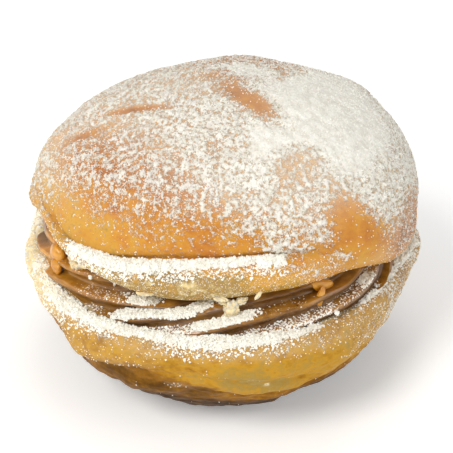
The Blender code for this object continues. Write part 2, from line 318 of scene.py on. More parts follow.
def patch(v, az, el, along, across, turn, soft=0.5, rough=None):
    """1 inside an ellipse of directions round azimuth az and elevation el (degrees), 0 outside it."""
    a, b = math.radians(az), math.radians(el)
    c = np.array([math.cos(b) * math.cos(a), math.cos(b) * math.sin(a), math.sin(b)])
    e = np.array([-math.sin(a), math.cos(a), 0.0])
    n = np.cross(c, e)
    d = np.maximum(v @ c, 1e-3)
    x, y = np.degrees(np.arctan2(v @ e, d)), np.degrees(np.arctan2(v @ n, d))
    k = math.radians(turn)
    q = np.hypot((x * math.cos(k) + y * math.sin(k)) / along, (-x * math.sin(k) + y * math.cos(k)) / across)
    if rough is not None:
        q = q + rough
    return 1 - ease(1 - soft, 1 + soft, q)


def painted(v, ground, patches, rough=None):
    out = ground.copy()
    for az, el, along, across, turn, value, soft in patches:
        w = patch(v, az, el, along, across, turn, soft, rough)
        out = out * (1 - w) + value * w
    return out


# ------------------------------------------------------------------ meshes
def new_mesh(name, points, triangles, uv=None, values=None):
    me = bpy.data.meshes.new(name)
    me.vertices.add(len(points))
    me.vertices.foreach_set("co", (np.asarray(points) * MM).astype(np.float32).ravel())
    me.loops.add(3 * len(triangles))
    me.loops.foreach_set("vertex_index", np.asarray(triangles, np.int32).ravel())
    me.polygons.add(len(triangles))
    me.polygons.foreach_set("loop_start", np.arange(len(triangles), dtype=np.int32) * 3)
    me.update(calc_edges=True)
    me.polygons.foreach_set("use_smooth", np.ones(len(triangles), bool))
    if uv is not None:
        layer = me.uv_layers.new(name="OFBake")
        layer.data.foreach_set("uv", np.asarray(uv, np.float32).ravel())
    for key, val in (values or {}).items():
        at = me.attributes.new(key, "FLOAT", "POINT")
        at.data.foreach_set("value", np.asarray(val, np.float32))
    me.update()
    ob = bpy.data.objects.new(name, me)
    bpy.context.scene.collection.objects.link(ob)
    return ob


def fine_azimuths(count, front_share=0.6):
    """Azimuths all round from 0, closer together across the front half."""
    n = int(count * front_share)
    return np.concatenate([np.arange(count - n) * 180.0 / (count - n), 180.0 + np.arange(n) * 180.0 / n])


def spaced(points, t, step):
    """Values of t so that neighbours along the line lie step(t) apart."""
    length = np.concatenate([[0], np.cumsum(np.linalg.norm(np.diff(points, axis=0), axis=1))])
    density = np.concatenate([[0], np.cumsum(np.diff(length) / step(0.5 * (t[1:] + t[:-1])))])
    n = int(math.ceil(density[-1]))
    return np.interp(np.linspace(0, density[-1], n + 1), density, t)


def normals_of(grid):
    """Unit outward normals of a (azimuth, row) grid that runs round in azimuth."""
    along = np.roll(grid, -1, 0) - np.roll(grid, 1, 0)
    down = np.gradient(grid, axis=1)
    n = np.cross(down, along)
    length = np.linalg.norm(n, axis=-1, keepdims=True)
    n = n / np.maximum(length, 1e-9)
    return n


class Rings:
    """Vertex rows round Z, with fewer vertices in the rows near the middle, and the triangles between them."""

    def __init__(self, radius, steps, spacing):
        rows = len(radius)
        counts = []
        for r in radius:
            n = steps
            while n > 16 and n % 2 == 0 and 2 * math.pi * r / n < spacing * 0.72:
                n //= 2
            counts.append(n)
        counts[0] = 1 if radius[0] < 0.01 else counts[0]
        counts[-1] = 1 if radius[-1] < 0.01 else counts[-1]
        for _ in range(12):
            for j in range(rows - 1):
                a, b = counts[j], counts[j + 1]
                if a > 1 and b > 2 * a:
                    counts[j] = b // 2
                if b > 1 and a > 2 * b:
                    counts[j + 1] = a // 2
        self.counts, self.steps = counts, steps
        self.start = np.concatenate([[0], np.cumsum(counts)])
        self.az = np.concatenate([np.arange(n) * (steps // n) if n > 1 else np.array([0]) for n in counts])
        self.row = np.concatenate([np.full(n, j) for j, n in enumerate(counts)])
        tris, corner_az = [], []
        for j in range(rows - 1):
            a, b = counts[j], counts[j + 1]
            oa, ob = self.start[j], self.start[j + 1]
            if a == 1:
                i = np.arange(b)
                tris.append(np.stack([np.full(b, oa), ob + i, ob + (i + 1) % b], 1))
                corner_az.append(np.stack([i + 0.5, i, i + 1.0], 1) / b)
            elif b == 1:
                i = np.arange(a)
                tris.append(np.stack([oa + i, np.full(a, ob), oa + (i + 1) % a], 1))
                corner_az.append(np.stack([i, i + 0.5, i + 1.0], 1) / a)
            elif a == b:
                i = np.arange(a)
                k = (i + 1) % a
                tris.append(np.stack([oa + i, ob + i, ob + k], 1))
                corner_az.append(np.stack([i, i, i + 1.0], 1) / a)
                tris.append(np.stack([oa + i, ob + k, oa + k], 1))
                corner_az.append(np.stack([i, i + 1.0, i + 1.0], 1) / a)
            elif b == 2 * a:
                i = np.arange(a)
                k = (i + 1) % a
                f0, f1, f2 = ob + 2 * i, ob + 2 * i + 1, ob + (2 * i + 2) % b
                tris += [np.stack([oa + i, f0, f1], 1), np.stack([oa + i, f1, oa + k], 1), np.stack([oa + k, f1, f2], 1)]
                corner_az += [np.stack([i, i, i + 0.5], 1) / a, np.stack([i, i + 0.5, i + 1.0], 1) / a,
                              np.stack([i + 1.0, i + 0.5, i + 1.0], 1) / a]
            else:
                i = np.arange(b)
                k = (i + 1) % b
                f0, f1, f2 = oa + 2 * i, oa + 2 * i + 1, oa + (2 * i + 2) % a
                tris += [np.stack([f0, ob + i, f1], 1), np.stack([f1, ob + i, ob + k], 1), np.stack([f1, ob + k, f2], 1)]
                corner_az += [np.stack([i, i, i + 0.5], 1) / b, np.stack([i + 0.5, i, i + 1.0], 1) / b,
                              np.stack([i + 0.5, i + 1.0, i + 1.0], 1) / b]
        self.tris = np.concatenate(tris)
        self.rows_of = self.row[self.tris]

    def pick(self, grid):
        return grid[self.az, self.row]


def two_discs(rings, theta, rows_length, split):
    """A bake map of two discs: rows up to split in the large one, the rest in the small one in the corner."""
    top = rings.rows_of.max(1) <= split
    reach = rows_length[rings.row]
    az = np.radians(theta[rings.az])
    uv = np.empty((len(rings.tris), 3, 2))
    first = reach / rows_length[split] * 0.452
    second = (rows_length[-1] - reach) / (rows_length[-1] - rows_length[split]) * 0.125
    for far, size, centre in ((top, first, (0.456, 0.456)), (~top, second, (0.868, 0.868))):
        u = centre[0] + size * np.cos(az)
        w = centre[1] + size * np.sin(az)
        uv[far] = np.stack([u, w], -1)[rings.tris[far]]
    return uv.reshape(-1, 2)


def grid_faces(rows, cols, keep=None, around=False, flip=False):
    """Triangles of a rows by cols grid of vertices, in rows-major order."""
    i, j = np.meshgrid(np.arange(rows if around else rows - 1), np.arange(cols - 1), indexing="ij")
    k = (i + 1) % rows
    a, b, c, d = i * cols + j, i * cols + j + 1, k * cols + j + 1, k * cols + j
    t = np.concatenate([np.stack([a, b, c], -1).reshape(-1, 3), np.stack([a, c, d], -1).reshape(-1, 3)])
    if flip:
        t = t[:, ::-1]
    if keep is not None:
        t = t[keep.ravel()[t].max(1) > 0]
    return t


def drift(name, points, normals, height, values=None, flip=False, sunk=0.25, around=False):
    """A skin of sugar over a grid of surface points: it stands height above them, and ends where height falls to 0."""
    rows, cols = height.shape
    p = points + normals * np.maximum(height, -sunk)[..., None]
    tris = grid_faces(rows, cols, height > 0.0, around, flip)
    used = np.unique(tris)
    index = np.full(rows * cols, -1)
    index[used] = np.arange(len(used))
    u = np.repeat(np.linspace(0.01, 0.99, rows)[:, None], cols, 1).ravel()
    w = np.repeat(np.linspace(0.01, 0.99, cols)[None], rows, 0).ravel()
    uv = np.stack([u, w], -1)[tris].reshape(-1, 2)
    if around:   # the last column of quads closes on the first
        t = uv.reshape(-1, 3, 2)
        wrap = (t[..., 0].max(1) - t[..., 0].min(1)) > 0.5
        t[wrap, :, 0] = np.where(t[wrap, :, 0] < 0.5, 0.999, t[wrap, :, 0])
        uv = t.reshape(-1, 2)
    vals = {k: np.asarray(v).ravel()[used] for k, v in (values or {}).items()}
    return new_mesh(name, p.reshape(-1, 3)[used], index[tris], uv, vals)


OCTA = np.array([(1, 0, 0), (-1, 0, 0), (0, 1, 0), (0, -1, 0), (0, 0, 1), (0, 0, -1)], float)
OCTA_FACES = np.array([(0, 2, 4), (2, 1, 4), (1, 3, 4), (3, 0, 4), (2, 0, 5), (1, 2, 5), (3, 1, 5), (0, 3, 5)])


def grains(name, points, normals, size, seed, lift=0.3):
    """Small uneven lumps of sugar lying on a surface, real geometry, one mesh."""
    rng = np.random.default_rng(seed)
    n = len(points)
    shape = OCTA[None] * rng.uniform(0.7, 1.25, (n, 6, 1))
    q = rng.normal(size=(n, 4))
    q /= np.linalg.norm(q, axis=1, keepdims=True)
    w, x, y, z = q.T
    turn = np.stack([np.stack([1 - 2 * (y * y + z * z), 2 * (x * y - z * w), 2 * (x * z + y * w)], -1),
                     np.stack([2 * (x * y + z * w), 1 - 2 * (x * x + z * z), 2 * (y * z - x * w)], -1),
                     np.stack([2 * (x * z - y * w), 2 * (y * z + x * w), 1 - 2 * (x * x + y * y)], -1)], 1)
    co = np.einsum("nij,nkj->nki", turn, shape) * size[:, None, None] + (points + normals * (size * lift)[:, None])[:, None]
    tris = (OCTA_FACES[None] + (np.arange(n) * 6)[:, None, None]).reshape(-1, 3)
    side = int(math.ceil(math.sqrt(n)))
    cell = np.stack([np.arange(n) % side, np.arange(n) // side], -1) / side
    corner = np.array([(0.15, 0.15), (0.85, 0.15), (0.5, 0.85)]) / side
    uv = (cell[:, None, None] + corner[None, None]).repeat(8, 1).reshape(-1, 2)
    ob = new_mesh(name, co.reshape(-1, 3), tris, uv)
    ob.data.polygons.foreach_set("use_smooth", np.zeros(len(tris), bool))
    return ob


def scattered(points, normals, tris, density, number, seed):
    """Random places on a mesh, as many as number, thicker where density (per vertex) is high."""
    rng = np.random.default_rng(seed)
    a, b, c = points[tris[:, 0]], points[tris[:, 1]], points[tris[:, 2]]
    area = 0.5 * np.linalg.norm(np.cross(b - a, c - a), axis=1)
    share = np.cumsum(area * density[tris].mean(1))
    f = np.searchsorted(share, rng.uniform(0, share[-1], number))
    f = np.minimum(f, len(tris) - 1)
    u, v = rng.uniform(size=(2, number))
    over = u + v > 1
    u, v = np.where(over, 1 - u, u), np.where(over, 1 - v, v)
    p = a[f] + (b[f] - a[f]) * u[:, None] + (c[f] - a[f]) * v[:, None]
    n = normals[tris[f]].mean(1)
    return p, n / np.maximum(np.linalg.norm(n, axis=1, keepdims=True), 1e-9), rng


# ------------------------------------------------------------------ materials
class Paint:
    """Short names for adding and joining shader nodes."""

    def __init__(self, name):
        self.mat = bpy.data.materials.new(name)
        self.mat.use_nodes = True
        self.tree = self.mat.node_tree
        self.shader = self.tree.nodes["Principled BSDF"]
        self.where = self.tree.nodes.new("ShaderNodeTexCoord").outputs["Object"]

    def put(self, socket, value):
        if isinstance(value, bpy.types.NodeSocket):
            self.tree.links.new(value, socket)
        elif value is not None:
            socket.default_value = value

    def attribute(self, name):
        n = self.tree.nodes.new("ShaderNodeAttribute")
        n.attribute_name = name
        return n.outputs["Fac"]

    def noise(self, size, detail=3.0, rough=0.55, squeeze=None):
        n = self.tree.nodes.new("ShaderNodeTexNoise")
        n.inputs["Scale"].default_value = 1.0 / (size * MM)
        n.inputs["Detail"].default_value = detail
        n.inputs["Roughness"].default_value = rough
        self.put(n.inputs["Vector"], self.scaled(squeeze) if squeeze else self.where)
        return n.outputs["Fac"]

    def scaled(self, by):
        n = self.tree.nodes.new("ShaderNodeMapping")
        n.inputs["Scale"].default_value = by
        self.put(n.inputs["Vector"], self.where)
        return n.outputs["Vector"]

    def cells(self, size, out="Color"):
        n = self.tree.nodes.new("ShaderNodeTexVoronoi")
        n.inputs["Scale"].default_value = 1.0 / (size * MM)
        self.put(n.inputs["Vector"], self.where)
        if out == "Color":
            s = self.tree.nodes.new("ShaderNodeSeparateColor")
            self.put(s.inputs[0], n.outputs["Color"])
            return s.outputs[0]
        return n.outputs[out]

    def math(self, kind, a, b=None, c=None, clamp=False):
        n = self.tree.nodes.new("ShaderNodeMath")
        n.operation = kind
        n.use_clamp = clamp
        self.put(n.inputs[0], a)
        if b is not None:
            self.put(n.inputs[1], b)
        if c is not None:
            self.put(n.inputs[2], c)
        return n.outputs[0]

    def span(self, value, a, b, lo=0.0, hi=1.0, smooth=True):
        n = self.tree.nodes.new("ShaderNodeMapRange")
        n.interpolation_type = "SMOOTHSTEP" if smooth else "LINEAR"
        n.clamp = True
        self.put(n.inputs["Value"], value)
        self.put(n.inputs["From Min"], a)
        self.put(n.inputs["From Max"], b)
        self.put(n.inputs["To Min"], lo)
        self.put(n.inputs["To Max"], hi)
        return n.outputs["Result"]

    def mix(self, fac, a, b, blend="MIX"):
        n = self.tree.nodes.new("ShaderNodeMix")
        n.data_type = "RGBA"
        n.blend_type = blend
        self.put(n.inputs["Factor"], fac)
        self.put(n.inputs["A"], a)
        self.put(n.inputs["B"], b)
        return n.outputs["Result"]

    def ramp(self, fac, stops):
        n = self.tree.nodes.new("ShaderNodeValToRGB")
        el = n.color_ramp.elements
        while len(el) < len(stops):
            el.new(0.5)
        for e, (at, colour) in zip(el, stops):
            e.position = at
            e.color = colour
        self.put(n.inputs["Fac"], fac)
        return n.outputs["Color"]

    def bump(self, height, strength, distance):
        n = self.tree.nodes.new("ShaderNodeBump")
        n.inputs["Strength"].default_value = strength
        n.inputs["Distance"].default_value = distance * MM
        self.put(n.inputs["Height"], height)
        return n.outputs["Normal"]

    def finish(self, colour, roughness, normal=None, **fixed):
        b = self.shader
        self.put(b.inputs["Base Color"], colour)
        self.put(b.inputs["Roughness"], roughness)
        if normal is not None:
            self.put(b.inputs["Normal"], normal)
        for key, value in fixed.items():
            b.inputs[key.replace("_", " ")].default_value = value
        return self.mat


def colour(r, g, b):
    """A screen colour, 0 to 255, as a shader's linear one."""
    c = [v / 255.0 for v in (r, g, b)]
    return tuple(v / 12.92 if v <= 0.04045 else ((v + 0.055) / 1.055) ** 2.4 for v in c) + (1.0,)


SUGAR_WHITE = colour(255, 254, 247)
SUGAR_GREY = colour(246, 243, 233)


def sugar_material(name):
    """Piled powdered sugar: white clumps with painted shade greying the gaps between them, cream where it has soaked.
    """
    m = Paint(name)
    tone = m.noise(2.2, 4, 0.6)
    frost = m.noise(0.9, 4, 0.72)
    c = m.mix(m.span(tone, 0.35, 0.65), SUGAR_GREY, SUGAR_WHITE)
    # painted shade: the gaps between the clumps, where frost is low, are greyed
    c = m.mix(m.span(frost, 0.30, 0.50, 0.42, 0.0), c, colour(206, 196, 172))
    c = m.mix(m.math("MULTIPLY", m.attribute("soak"), m.span(tone, 0.3, 0.7, 0.5, 1.0)), c, colour(252, 236, 192))
    return m.finish(c, m.span(frost, 0.3, 0.7, 0.85, 0.98), m.bump(frost, 0.7, 0.32), Specular_IOR_Level=0.22)


# the stop at 0.16, the lip's darker khaki, is partly painted shade
UPPER_DOUGH = ((0.00, colour(222, 200, 140)), (0.16, colour(152, 120, 56)), (0.34, colour(202, 150, 46)),
               (0.54, colour(198, 132, 34)), (0.74, colour(180, 106, 30)), (0.90, colour(146, 82, 28)), (1.00, colour(106, 60, 22)))
# the darkest stops of the lower ramp colour the bottom: partly deeper-fried crust, partly painted shade
LOWER_DOUGH = ((0.00, colour(248, 236, 204)), (0.10, colour(172, 144, 80)), (0.20, colour(164, 133, 62)), (0.34, colour(190, 142, 42)),
               (0.54, colour(152, 103, 20)), (0.74, colour(112, 73, 10)), (0.90, colour(84, 53, 6)), (1.00, colour(62, 38, 4)))


def dough_material(name, ramp, crust_red, shine):
    """Fried dough: paler and browner places, painted shade in fine pore cells, and the powder that lies on it with
    painted shade in the gaps between its clumps.
    """
    m = Paint(name)
    brown, cover, heap, crumb, haze = (m.attribute(k) for k in ("brown", "sugar", "heap", "crumb", "haze"))
    blotch = m.noise(5.5, 4, 0.6)
    mottle = m.noise(1.3, 3, 0.6)
    streak = m.noise(2.4, 3, 0.55, squeeze=(1.0, 1.0, 2.2))
    level = m.math("ADD", brown, m.span(blotch, 0.3, 0.7, -0.13, 0.13, smooth=False))
    level = m.math("ADD", level, m.span(mottle, 0.3, 0.7, -0.07, 0.07, smooth=False))
    level = m.math("ADD", level, m.span(streak, 0.3, 0.7, -0.07, 0.07, smooth=False), clamp=True)
    c = m.ramp(level, ramp)
    c = m.mix(m.math("MULTIPLY", m.span(brown, 0.6, 0.95), crust_red), c, colour(212, 132, 78))
    # painted shade: the middles of the fine pore cells are darkened, for the shade in the pores
    pore_shade = m.cells(0.9, "Distance")
    c = m.mix(m.span(pore_shade, 0.12, 0.3, 0.25, 0.0), c, m.mix(0.5, c, colour(120, 72, 28)))
    c = m.mix(crumb, c, m.mix(m.span(mottle, 0.35, 0.65), colour(246, 230, 186), colour(228, 202, 144)))
    # powder: branching clumps of about 0.8 mm, broken up by grains of about 0.3 mm
    frost = m.noise(0.85, 4, 0.80)
    grain = m.cells(0.26)
    v = m.math("ADD", m.math("MULTIPLY", m.math("SUBTRACT", heap, 0.5), 0.40), cover)
    v = m.math("ADD", v, m.math("MULTIPLY", m.math("SUBTRACT", frost, 0.5), 2.4))
    v = m.math("ADD", v, m.math("MULTIPLY", m.math("SUBTRACT", grain, 0.5), 0.46))
    v = m.math("ADD", v, m.span(m.noise(4.5, 2, 0.5), 0.3, 0.7, -0.12, 0.12, smooth=False))
    there = m.math("MULTIPLY", m.span(v, 0.36, 0.70), m.span(cover, 0.01, 0.08))
    veil = m.math("MULTIPLY", haze, m.span(mottle, 0.3, 0.7, 0.85, 1.0))   # the finest dust between the clumps
    c = m.mix(veil, c, colour(238, 216, 184))
    white = m.mix(m.span(m.noise(2.2, 3, 0.6), 0.35, 0.65), colour(234, 231, 221), colour(248, 246, 238))
    # painted shade: the gaps between the clumps of powder are darkened where the powder lies thick, for their shadow
    hollow_shade = m.math("MULTIPLY", m.span(frost, 0.36, 0.54, 1.0, 0.0), m.span(cover, 0.88, 1.10, 1.0, 0.20))
    hollow_shade = m.math("MULTIPLY", hollow_shade, m.span(cover, 0.45, 0.72))
    white = m.mix(hollow_shade, white, colour(184, 168, 142))
    c = m.mix(m.math("MULTIPLY", there, m.span(cover, 0.1, 0.8, 0.70, 0.97)), c, white)
    height = m.math("MULTIPLY", there, m.span(frost, 0.3, 0.75, 0.35, 1.4, smooth=False))
    height = m.math("ADD", height, m.math("MULTIPLY", mottle, 0.40))
    rough = m.math("ADD", m.span(there, 0.0, 1.0, 0.46, 0.95), m.span(blotch, 0.3, 0.7, -0.06, 0.06))
    mat = m.finish(c, rough, m.bump(height, 0.70, 0.28), Specular_IOR_Level=shine, Subsurface_Weight=0.08)
    m.shader.inputs["Subsurface Radius"].default_value = (1.0, 0.55, 0.25)
    m.shader.inputs["Subsurface Scale"].default_value = 1.2 * MM
    return mat


def caramel_material(name):
    m = Paint(name)
    thin, dust = m.attribute("thin"), m.attribute("sugar")
    flow = m.noise(3.0, 4, 0.6, squeeze=(1.0, 1.0, 2.6))
    fine = m.noise(0.7, 3, 0.6)
    # dark for thick caramel and orange for thin; where thin follows the layer noses the paler orange is partly painted
    # light
    deep = m.mix(m.span(flow, 0.35, 0.65), colour(62, 35, 10), colour(96, 60, 18))
    bright = m.mix(m.span(flow, 0.35, 0.65), colour(190, 124, 24), colour(218, 156, 50))
    c = m.mix(thin, deep, bright)
    grain = m.cells(0.32)
    speck = m.noise(0.5, 2, 0.6)
    v = m.math("ADD", dust, m.math("ADD", m.math("MULTIPLY", m.math("SUBTRACT", grain, 0.5), 0.5),
                                   m.span(speck, 0.3, 0.7, -0.3, 0.3, smooth=False)))
    there = m.math("MULTIPLY", m.span(v, 0.45, 0.62), m.span(dust, 0.02, 0.12))
    c = m.mix(m.math("MULTIPLY", there, 0.92), c, SUGAR_WHITE)
    rough = m.math("ADD", m.span(fine, 0.3, 0.7, 0.26, 0.42, smooth=False), m.math("MULTIPLY", there, 0.5), clamp=True)
    height = m.math("ADD", m.math("MULTIPLY", flow, 1.0), m.math("MULTIPLY", fine, 0.3))
    mat = m.finish(c, rough, m.bump(height, 0.35, 0.3), Specular_IOR_Level=0.5, Coat_Weight=0.35, Coat_Roughness=0.16,
                   Subsurface_Weight=0.10)
    m.shader.inputs["Subsurface Radius"].default_value = (1.4, 0.8, 0.3)
    m.shader.inputs["Subsurface Scale"].default_value = 1.0 * MM
    return mat


UPPER = dough_material("upper_crust", UPPER_DOUGH, 0.08, 0.16)
LOWER = dough_material("lower_crust", LOWER_DOUGH, 0.0, 0.07)
CARAMEL = caramel_material("caramel_layers")
POWDER = sugar_material("powdered_sugar")


def wear(ob, mat):
    ob.data.materials.append(mat)
    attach(ob, "root")
    return ob


# ------------------------------------------------------------------ upper half
# sugar by direction from the middle of the upper half: azimuth, elevation, half length along, half width across, turn,
# share covered, softness of the edge
LID_SUGAR = (
    (165, 45, 34, 18, 0, 0.60, 0.5),
    (90, 35, 60, 32, 0, 0.60, 0.5),
    (215, 60, 34, 14, 0, 0.64, 0.5),
    (236, 40, 20, 14, 0, 0.58, 0.6),
    (262, 54, 24, 14, -20, 0.80, 0.6),
    (272, 40, 15, 15, 0, 0.72, 0.6),
    (285, 26, 12, 12, 0, 0.68, 0.5),
    (289, 14, 8, 8, 0, 0.70, 0.5),
    (297, 14, 6, 6, 0, 0.60, 0.5),
    (340, 24, 28, 18, 0, 0.82, 0.4),
    (20, 28, 34, 22, 0, 0.90, 0.4),
    (335, 50, 40, 22, 0, 1.20, 0.3),
    (316, 40, 13, 12, 0, 1.10, 0.4),
    (300, 72, 12, 9, 0, 1.05, 0.5),
    (60, 78, 14, 8, 0, 1.05, 0.5),
    (297, 34, 9, 7, 0, 0.46, 0.6),
    (300, 25, 8, 5, 0, 0.66, 0.5),
    (311, 4, 9, 9, 0, 0.13, 0.7),
    (309, 13, 5, 9, 20, 0.11, 0.7),
    (303, 3, 16, 6, 0, 0.14, 0.6),
    (338, 2, 13, 9, 0, 0.42, 0.6),
    (303, 5, 5, 3.0, -30, 0.50, 0.7),
    (292, 4, 7, 2.2, -20, 0.42, 0.6),
    (290, 69, 17, 7.0, -68, 0.30, 0.7),
    (290, 69, 11, 3.2, -68, 0.14, 0.8),
    (140, 82, 8, 4, 0, 0.40, 0.6),
    (15, 66, 6, 2.2, -30, 0.62, 0.5),
    (208, 48, 11, 1.6, 47, 0.12, 0.9),
    (210, 50.5, 8, 0.9, 44, 0.16, 0.9),
    (203, 31, 7, 2.0, 58, 0.22, 0.9),
    (190, 22, 5, 3, 30, 0.26, 0.8),
)
# the thinnest dust, which only pales the crust
LID_HAZE = (
    (200, 55, 50, 28, 0, 0.66, 0.6),
    (180, 30, 24, 22, 0, 0.56, 0.6),
    (235, 26, 26, 14, 0, 0.06, 0.6),
    (265, 50, 30, 22, 0, 0.46, 0.6),
    (335, 45, 50, 34, 0, 0.70, 0.5),
    (250, 8, 50, 9, 0, 0.05, 0.6),
    (268, 14, 26, 8, 0, 0.03, 0.6),
    (272, -9, 50, 10, 0, 0.03, 0.6),
    (309, 8, 12, 12, 0, 0.05, 0.6),
    (290, 69, 15, 5.5, -68, 0.24, 0.7),
    (208, 48, 11, 2.0, 47, 0.18, 0.8),
    (203, 31, 7, 2.2, 58, 0.22, 0.8),
)
LID_BROWN_AND_SHADE = (
    (205, 4, 24, 9, 0, 0.40, 0.5),
    (238, 7, 26, 5, 0, 0.41, 0.5),
    (266, 12, 24, 6, 0, 0.60, 0.8),
    (311, 10, 12, 14, 0, 0.58, 0.4),
    (300, 2, 22, 6, 0, 0.46, 0.5),
    (338, 2, 14, 9, 0, 0.84, 0.5),
    # the lip turned down under the band: its darker khaki is partly painted shade
    (250, -4, 42, 8, 0, 0.17, 0.5),
)


def clumped(p, seed):
    """Clumps of powder, 0 to 1 and 0.5 on average, 0.8 to 1.3 mm across."""
    return np.clip(0.5 + (0.62 * lumps_noise(p, 1.25, seed) + 0.38 * lumps_noise(p, 0.8, seed + 1) - 0.70) / 0.36, 0, 1)


def build_upper():
    theta = fine_azimuths(512, 0.59)
    line = np.linspace(0, LID_KNOTS - 1, 3000)
    profile = lid_surface(np.array([262.0]), line)[0]

    def step(t):
        return np.interp(t, [0, 5.2, 6.0, 9.8, 10.6, 12.0, 13.0, 15.0], [0.50, 0.46, 0.27, 0.27, 0.36, 0.6, 2.2, 4.0])
    t = spaced(profile, line, step)
    grid = lid_surface(theta, t)
    nrm = normals_of(grid)
    mean = lid_surface(theta[::16], t)
    length = np.concatenate([[0], np.cumsum(np.linalg.norm(np.diff(mean, axis=1), axis=2).mean(0))])
    middle = mean[:, 0].mean(0)
    radius = np.hypot(mean[..., 0] - middle[0], mean[..., 1] - middle[1]).mean(0)
    radius[0] = 0.0
    radius[-1] = 0.0
    rings = Rings(radius, len(theta), 0.50)
    nrm[:, 0] = nrm[:, 1].mean(0)
    nrm[:, -1] = -nrm[:, 0]
    p, n = rings.pick(grid), rings.pick(nrm)
    n /= np.maximum(np.linalg.norm(n, axis=1, keepdims=True), 1e-9)
    tt, az = t[rings.row], theta[rings.az]
    v = directions(p, LID_MIDDLE)
    el = np.degrees(np.arcsin(np.clip(v[:, 2], -1, 1)))
    uneven = 0.22 * rough_noise(p, 7.0, 3) + 0.14 * rough_noise(p, 2.0, 4)
    low_front = ease(196, 214, az) * (1 - ease(286, 300, az))
    ground = 0.56 + 0.10 * rough_noise(p, 8.0, 5)
    ground *= 1 - 0.78 * low_front * (1 - ease(1, 26, el + 3.0 * rough_noise(p, 5.0, 6)))
    ground *= 1 - 0.45 * (1 - low_front) * (1 - ease(-2, 14, el))
    ground = ground + low_front * (0.22 * ease(7.2, 7.8, tt) * (1 - ease(8.2, 9.4, tt)) - 0.10 * ease(9.0, 9.8, tt))
    cover = painted(v, ground, LID_SUGAR, uneven)
    under = ease(10.4, 11.2, tt)
    cover = cover * (1 - under)
    clump = clumped(p, 21)
    heap = ease(-0.1, 0.5, clump - 0.9 * (1 - cover)) * ease(0.03, 0.15, cover)
    haze = painted(v, 0.22 + 0 * el, LID_HAZE, uneven) * (1 - ease(9.6, 10.6, tt))
    brown = 0.36 + 0.36 * ease(4, 30, el) + 0.05 * rough_noise(p, 8.0, 7)
    brown = painted(v, brown, LID_BROWN_AND_SHADE, 0.5 * uneven)
    relief = 0.30 * rough_noise(p, 9.0, 8) + 0.05 * rough_noise(p, 1.6, 9)
    relief += 0.50 * heap * clump * ease(0.1, 0.5, cover) * (1 - 0.65 * ease(0.98, 1.15, cover)) + 0.50 * ease(0.9, 1.2, cover)
    relief += 0.9 * patch(v, 6, 3, 22, 7, 0, 0.6)
    relief *= 1 - 0.9 * under
    crumb = ease(11.2, 11.9, tt)
    p = p + n * relief[:, None]
    tris = rings.tris
    ob = new_mesh("upper_dough", p, tris, two_discs(rings, theta, length, int(np.searchsorted(t, 11.0))),
                  {"brown": brown, "sugar": cover, "heap": heap, "crumb": crumb, "haze": haze})
    wear(ob, UPPER)
    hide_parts("upper_half")
    return dict(ob=ob, p=p, n=n, tris=tris, cover=cover, t=tt, az=az, el=el, grid_t=t)


# ------------------------------------------------------------------ lower half
BASE_SUGAR = (
    (330, -8, 22, 8, -14, 0.30, 0.6),
    (346, -2, 16, 14, 0, 0.46, 0.5),
    (238, -4, 16, 3.5, 0, 0.16, 0.6),
    (226, -9, 12, 5, 0, 0.16, 0.6),
    (258, -13, 3, 1.5, 0, 0.26, 0.9),
    (190, 1, 28, 8, 0, 0.34, 0.6),
)
# how brown the lower crust is by direction, with painted shade in the fold at azimuth 238
BASE_BROWN_AND_SHADE = (
    (210, -8, 18, 8, 0, 0.54, 0.6),
    (230, -5, 14, 4, 0, 0.38, 0.5),
    (262, -3, 12, 5, 0, 0.34, 0.5),
    (281, -10, 18, 8, 0, 0.21, 0.9),
    (300, -3, 14, 7, 0, 0.34, 0.6),
    # painted shade: the fold's valley here is darkened
    (238, -11, 18, 4.5, 14, 0.62, 0.9),
    (256, -17, 18, 5, 0, 0.76, 0.7),
    (286, -20, 18, 4, 4, 0.58, 0.7),
    (324, -9, 18, 10, 0, 0.32, 0.6),
    (188, 1, 32, 9, 0, 0.30, 0.5),
)
# dents and stretched folds of the skin: azimuth, elevation, half length, half width, turn, height in mm, softness
BASE_FOLDS = (
    (236, -5, 17, 4.0, 16, 1.2, 0.7),
    (238, -11, 17, 3.0, 16, -1.0, 1.0),
    (246, -17, 15, 3.2, 10, 0.9, 0.8),
    (225, -14, 6, 3.0, 60, 0.7, 0.8),
    (262, -10, 4, 8, 10, -1.0, 0.8),
    (278, -5, 11, 3.4, -10, 1.0, 0.8),
    (282, -9, 14, 2.2, -8, -0.9, 0.8),
    (285, -13, 13, 2.6, -6, 0.9, 0.8),
    (290, -18, 12, 2.2, 4, -0.8, 0.8),
    (303, -6, 7, 6, 0, 0.9, 0.8),
    (312, -14, 10, 3.0, 16, -0.8, 0.8),
    (322, -8, 4, 9, 20, -0.7, 0.8),
    (214, -10, 9, 4.0, 20, -0.8, 0.8),
    (335, -20, 24, 12, 0, -0.9, 0.8),
    (232, -32, 22, 12, 0, 0.8, 0.8),
    (266, -40, 16, 9, 0, 0.6, 0.8),
    (188, -1, 7, 6, 0, 0.8, 0.7),
    (197, -3, 3, 6, 0, -0.7, 0.7),
    (204, -2, 6, 5, 0, 0.6, 0.7),
)


